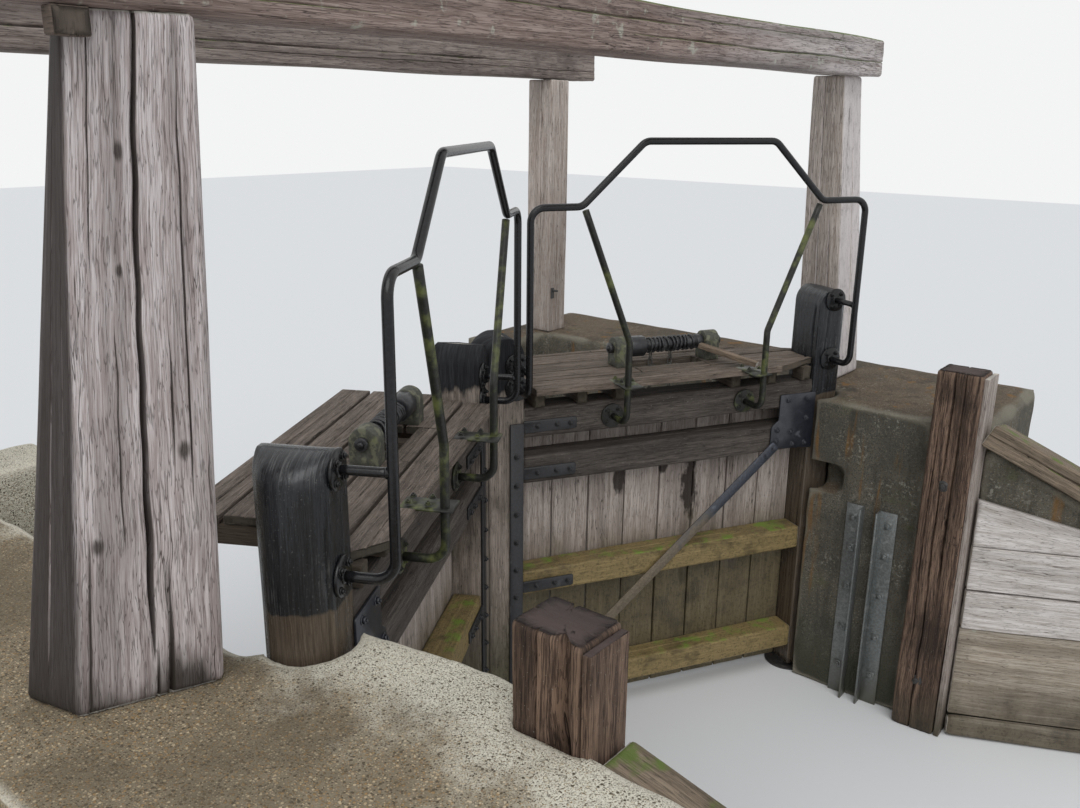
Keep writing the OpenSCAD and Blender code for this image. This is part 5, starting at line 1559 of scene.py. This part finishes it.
boards, caps = [], []
for side, run, under_z, fall, depth, y0, y1, first, last in (
        (FAR, 0.960, 1.659, 0.520, 0.141, -0.070, 0.140, 0.035, 0.980),
        (NEAR, 0.8628, 1.572, 0.230, 0.150, -0.087, 0.0597, 0.004, 0.8628)):
    for k, (z0, z1, thick, radius) in enumerate(WING_BOARDS):
        middle = [-thick / 2 - 0.0005, (z0 + z1) / 2]
        board = timber((0.004, *middle), (run - 0.002, *middle), (0, 0, 1), z1 - z0 - 0.005, thick - 0.002,
                       rings=70, around=50, radius=radius, seed=15.0 + k * 2.2 + side, ridge=0.0012,
                       waney=0.003, checks=[(2.5, 0.3, 1.0, 0.003, 0.01, 0.01),
                                            (0.45, 0.1, 0.8, 0.003, 0.01, 0.012)])
        boards.append(placed(board, on_wing, side))
    boards.append(sloping_board(side, run))
    ends = [(x, (y0 + y1) / 2, under_z + depth / 2 - fall * x) for x in (first, last)]
    cap = timber(*ends, (0, 1, 0), y1 - y0 - 0.004, depth * math.cos(math.atan(fall)) - 0.004, rings=110,
                 around=70, radius=0.012, seed=16.1 + side, ridge=0.002, waney=0.006,
                 slant=math.tan(WING_TURN[side]), checks=[(0.5, 0.1, 1.0, 0.005, 0.02, 0.02),
                                                          (1.4, 0.3, 1.0, 0.005, 0.03, 0.02),
                                                          (2.45, 0.0, 0.8, 0.005, 0.02, 0.02),
                                                          (3.5, 0.2, 1.0, 0.004, 0.02, 0.02)])
    caps.append(placed(cap, on_wing, side))
upper = [boards[i] for i in (0, 1, 4, 5, 6, 9)]
lower = [boards[i] for i in (2, 3, 7, 8)]
piece("wing_facing_boards", upper, M["wing_low"], "lock_walls", ["wing_boards"])
piece("wing_foot_boards", lower, M["wing_foot"], "lock_walls", ())
piece("wing_cap_timbers", caps, M["wing_cap"], "lock_walls", ["wing_caps"])

# %% Stop plank angles
WALL_X, ANGLE_HEIGHT = 1.6497, 1.1775
parts = []
bolts = []
for side in (FAR, NEAR):
    for s in (-1, 1):
        edge = -0.470 + s * 0.041
        y0, y1 = sorted((edge, edge + s * 0.100))
        legs = [(WALL_X - 0.010, WALL_X, y0, y1), (WALL_X - 0.070, WALL_X - 0.009,
                                                   *sorted((edge, edge + s * 0.010)))]
        for leg in legs:
            plan = bank_place([(x, y, 0.0) for x, y in bar(*leg)], side)[:, :2]
            leg_plan = rounded(fixed_outline(plan), 0.0022, 3)
            parts.append(plate(leg_plan, (0, 0, 0), (1, 0, 0), (0, 1, 0), ANGLE_HEIGHT, 0.001))
        for z in (0.18, 0.42, 0.68, 0.92, 1.10):
            spot = bank_place([WALL_X - 0.010, edge + s * 0.057, z], side)
            bolts += bolt(spot, (-side, 0, 0), 0.012, 0.022, square=True)
piece("stop_plank_angles", parts, M["zinc"], "lock_walls", ["plank_angles"])
piece("angle_bolts", bolts, M["zinc"], "lock_walls", ())

# %% [markdown]
# ## Masonry
# The abutments and copings are mass concrete, worn by feet, frost and water. Each is a copy of its CAD solid,
# rebuilt as an even skin of small faces, which are then pushed in and out by layered noise. Edges lose most,
# as real ones do.


# %% Masonry
def form(plan, low, high):
    """A closed form over a plan: points (x, y) with their own heights below and above."""
    n = len(plan)
    points = [(x, y, z) for zs in (low, high) for (x, y), z in zip(plan, zs)]
    sides = [(i, (i + 1) % n, n + (i + 1) % n, n + i) for i in range(n)]
    return points, sides + [tuple(range(n))[::-1], tuple(range(n, 2 * n))]


def loose(name, points, faces):
    mesh = bpy.data.meshes.new(name)
    mesh.from_pydata([tuple(map(float, p)) for p in points], [], faces)
    return shown(name, mesh)


def skinned(thing, voxel):
    """Adds a remesh that rebuilds a form as an even skin."""
    skin = thing.modifiers.new("skin", "REMESH")
    skin.mode = "VOXEL"
    skin.voxel_size = voxel


def spread(values, edges, rounds):
    """The mean of each point's neighbours, worked out again for each round."""
    number = np.bincount(edges.ravel(), minlength=len(values)).reshape(-1, *([1] * (values.ndim - 1)))
    for _ in range(rounds):
        total = np.zeros_like(values)
        np.add.at(total, edges[:, 0], values[edges[:, 1]])
        np.add.at(total, edges[:, 1], values[edges[:, 0]])
        values = total / np.maximum(number, 1)
    return values


def read(things, key, width, kind):
    """All values of one key of a mesh's points or edges, as an array."""
    values = np.empty(len(things) * width, kind)
    things.foreach_get(key, values)
    return values.reshape(-1, width)


def worn_mass(name, sources, material, voxel, coarse, chips, extra, away=()):
    """Copies of CAD solids with extra forms joined on and others cut away: voxel remesh, then each point
    moves along its normal by layered noise, and inwards where the skin bends, found by comparing each point
    with its neighbours."""
    points, faces = [], []
    solids = [([nodes[s].matrix_world @ v.co for v in nodes[s].data.vertices],
               [tuple(p.vertices) for p in nodes[s].data.polygons]) for s in sources]
    for more, sides in solids + extra:
        faces += [tuple(len(points) + i for i in face) for face in sides]
        points += more
    copy = loose(name, points, faces)
    cutters = [loose(name + "_cutter", *cut) for cut in away]
    copy.modifiers.new("weld", "WELD").merge_threshold = 0.0005
    skinned(copy, voxel)
    for cutter in cutters:
        less = copy.modifiers.new("less", "BOOLEAN")
        less.operation = "DIFFERENCE"
        less.object = cutter
        skinned(copy, voxel)
    mesh = bpy.data.meshes.new_from_object(copy.evaluated_get(bpy.context.evaluated_depsgraph_get()))
    for thing in [copy] + cutters:
        bpy.data.objects.remove(thing)
    co = read(mesh.vertices, "co", 3, np.float32).astype(float)
    normal = read(mesh.vertices, "normal", 3, np.float32).astype(float)
    edges = read(mesh.edges, "vertices", 2, np.int32)
    pulled = -np.sum((spread(co, edges, 3) - co) * normal, 1)
    edge = np.clip(pulled / (voxel * 0.45), 0, 1)
    edge = np.clip(spread(edge, edges, 2) * 2.2, 0, 1)
    rough = 0.5 + 0.5 * noise(co, 9, 3)
    out = coarse * layered(co, 2.6, 5.0, 3) - coarse * 0.4 - edge * chips * rough
    moved = np.clip(co + normal * out[:, None], co.min(0) + 0.0005, co.max(0) - 0.0005)
    mesh.vertices.foreach_set("co", moved.astype(np.float32).ravel())
    mesh.update()
    dressed(name, mesh, edge * (0.35 + 0.65 * rough), material, "lock_walls", sources)


def near_plan(points):
    """Bank distances to frame on the near side, turned round so that the plan still runs counter
    clockwise."""
    return [(-x, AXIS_Y + y) for x, y in points][::-1]


def wing_plan(points):
    return [tuple(on_wing([x, y, 0.0], FAR)[:2]) for x, y in points]


LEDGE = 1.363
tail = near_plan([(1.650, -1.8548), (2.700, -1.8548), (2.700, -0.980), (1.650, -0.992)])
bank = near_plan([(1.710, -1.8548), (2.700, -1.8548), (2.700, -0.980), (1.710, -0.980)])
shoulder = near_plan([(1.650, -1.8548), (1.712, -1.8548), (1.712, -0.992), (1.650, -0.992)])
nose = near_plan([(1.660, -0.103), (1.650, -0.103), (1.572, -0.600), (1.562, -0.737), (1.660, -0.737)])
shoulder_top = [1.5715 - 0.230 * (-(y - AXIS_Y) - 0.992) for x, y in shoulder]
worn_mass("near_wall_mass", ["near_abutment"], M["wall_near"], 0.032, 0.004, 0.008,
          [form(tail, [0.0] * 4, [LEDGE] * 4)])
worn_mass("near_coping_mass", ["near_coping"], M["coping"], 0.018, 0.004, 0.014,
          [form(bank, [LEDGE] * 4, [COPING] * 4), form(shoulder, [LEDGE] * 4, shoulder_top),
           form(nose, [LEDGE] * 5, [COPING] * 5)])
rise = [(0.0, 0.0), (0.960, 0.0), (0.960, 0.340), (0.243, 0.500)]
air = [(-0.008, -0.1), (1.20, -0.1), (1.20, 0.70), (0.34, 0.70)]
risen = form(wing_plan(rise), [0.9] * 4, [1.6585 - 0.520 * x for x, y in rise])
cleared = form(wing_plan(air), [1.6585 - 0.520 * x for x, y in air], [2.2] * 4)
worn_mass("far_wall_mass", ["far_abutment", "far_coping"], M["wall_far"], 0.025, 0.004, 0.009,
          [risen], [cleared])

# %% Materials of the CAD pieces that stay
for label in ("post_latches", "pintle_cups"):
    for held in nodes[label].material_slots:
        held.material = M["bolt"]

# %% [markdown]
# ## Floor
# A plain pale floor lies at the tail water line, where the ground and the water are in the photograph.

# %% Floor
floor_mesh = bpy.data.meshes.new("studio_floor")
floor_corners = [(-40, -40, -0.001), (40, -40, -0.001), (40, 40, -0.001), (-40, 40, -0.001)]
floor_mesh.from_pydata(floor_corners, [], [(0, 1, 2, 3)])
floor_mat = bpy.data.materials.new("studio floor")
floor_mat.use_nodes = True
feed(floor_mat.node_tree, floor_mat.node_tree.nodes["Principled BSDF"], {
    "Base Color": (0.78, 0.785, 0.785, 1), "Roughness": 0.95, "Specular IOR Level": 0.1})
floor_mesh.materials.append(floor_mat)
floor = shown("studio_floor", floor_mesh)
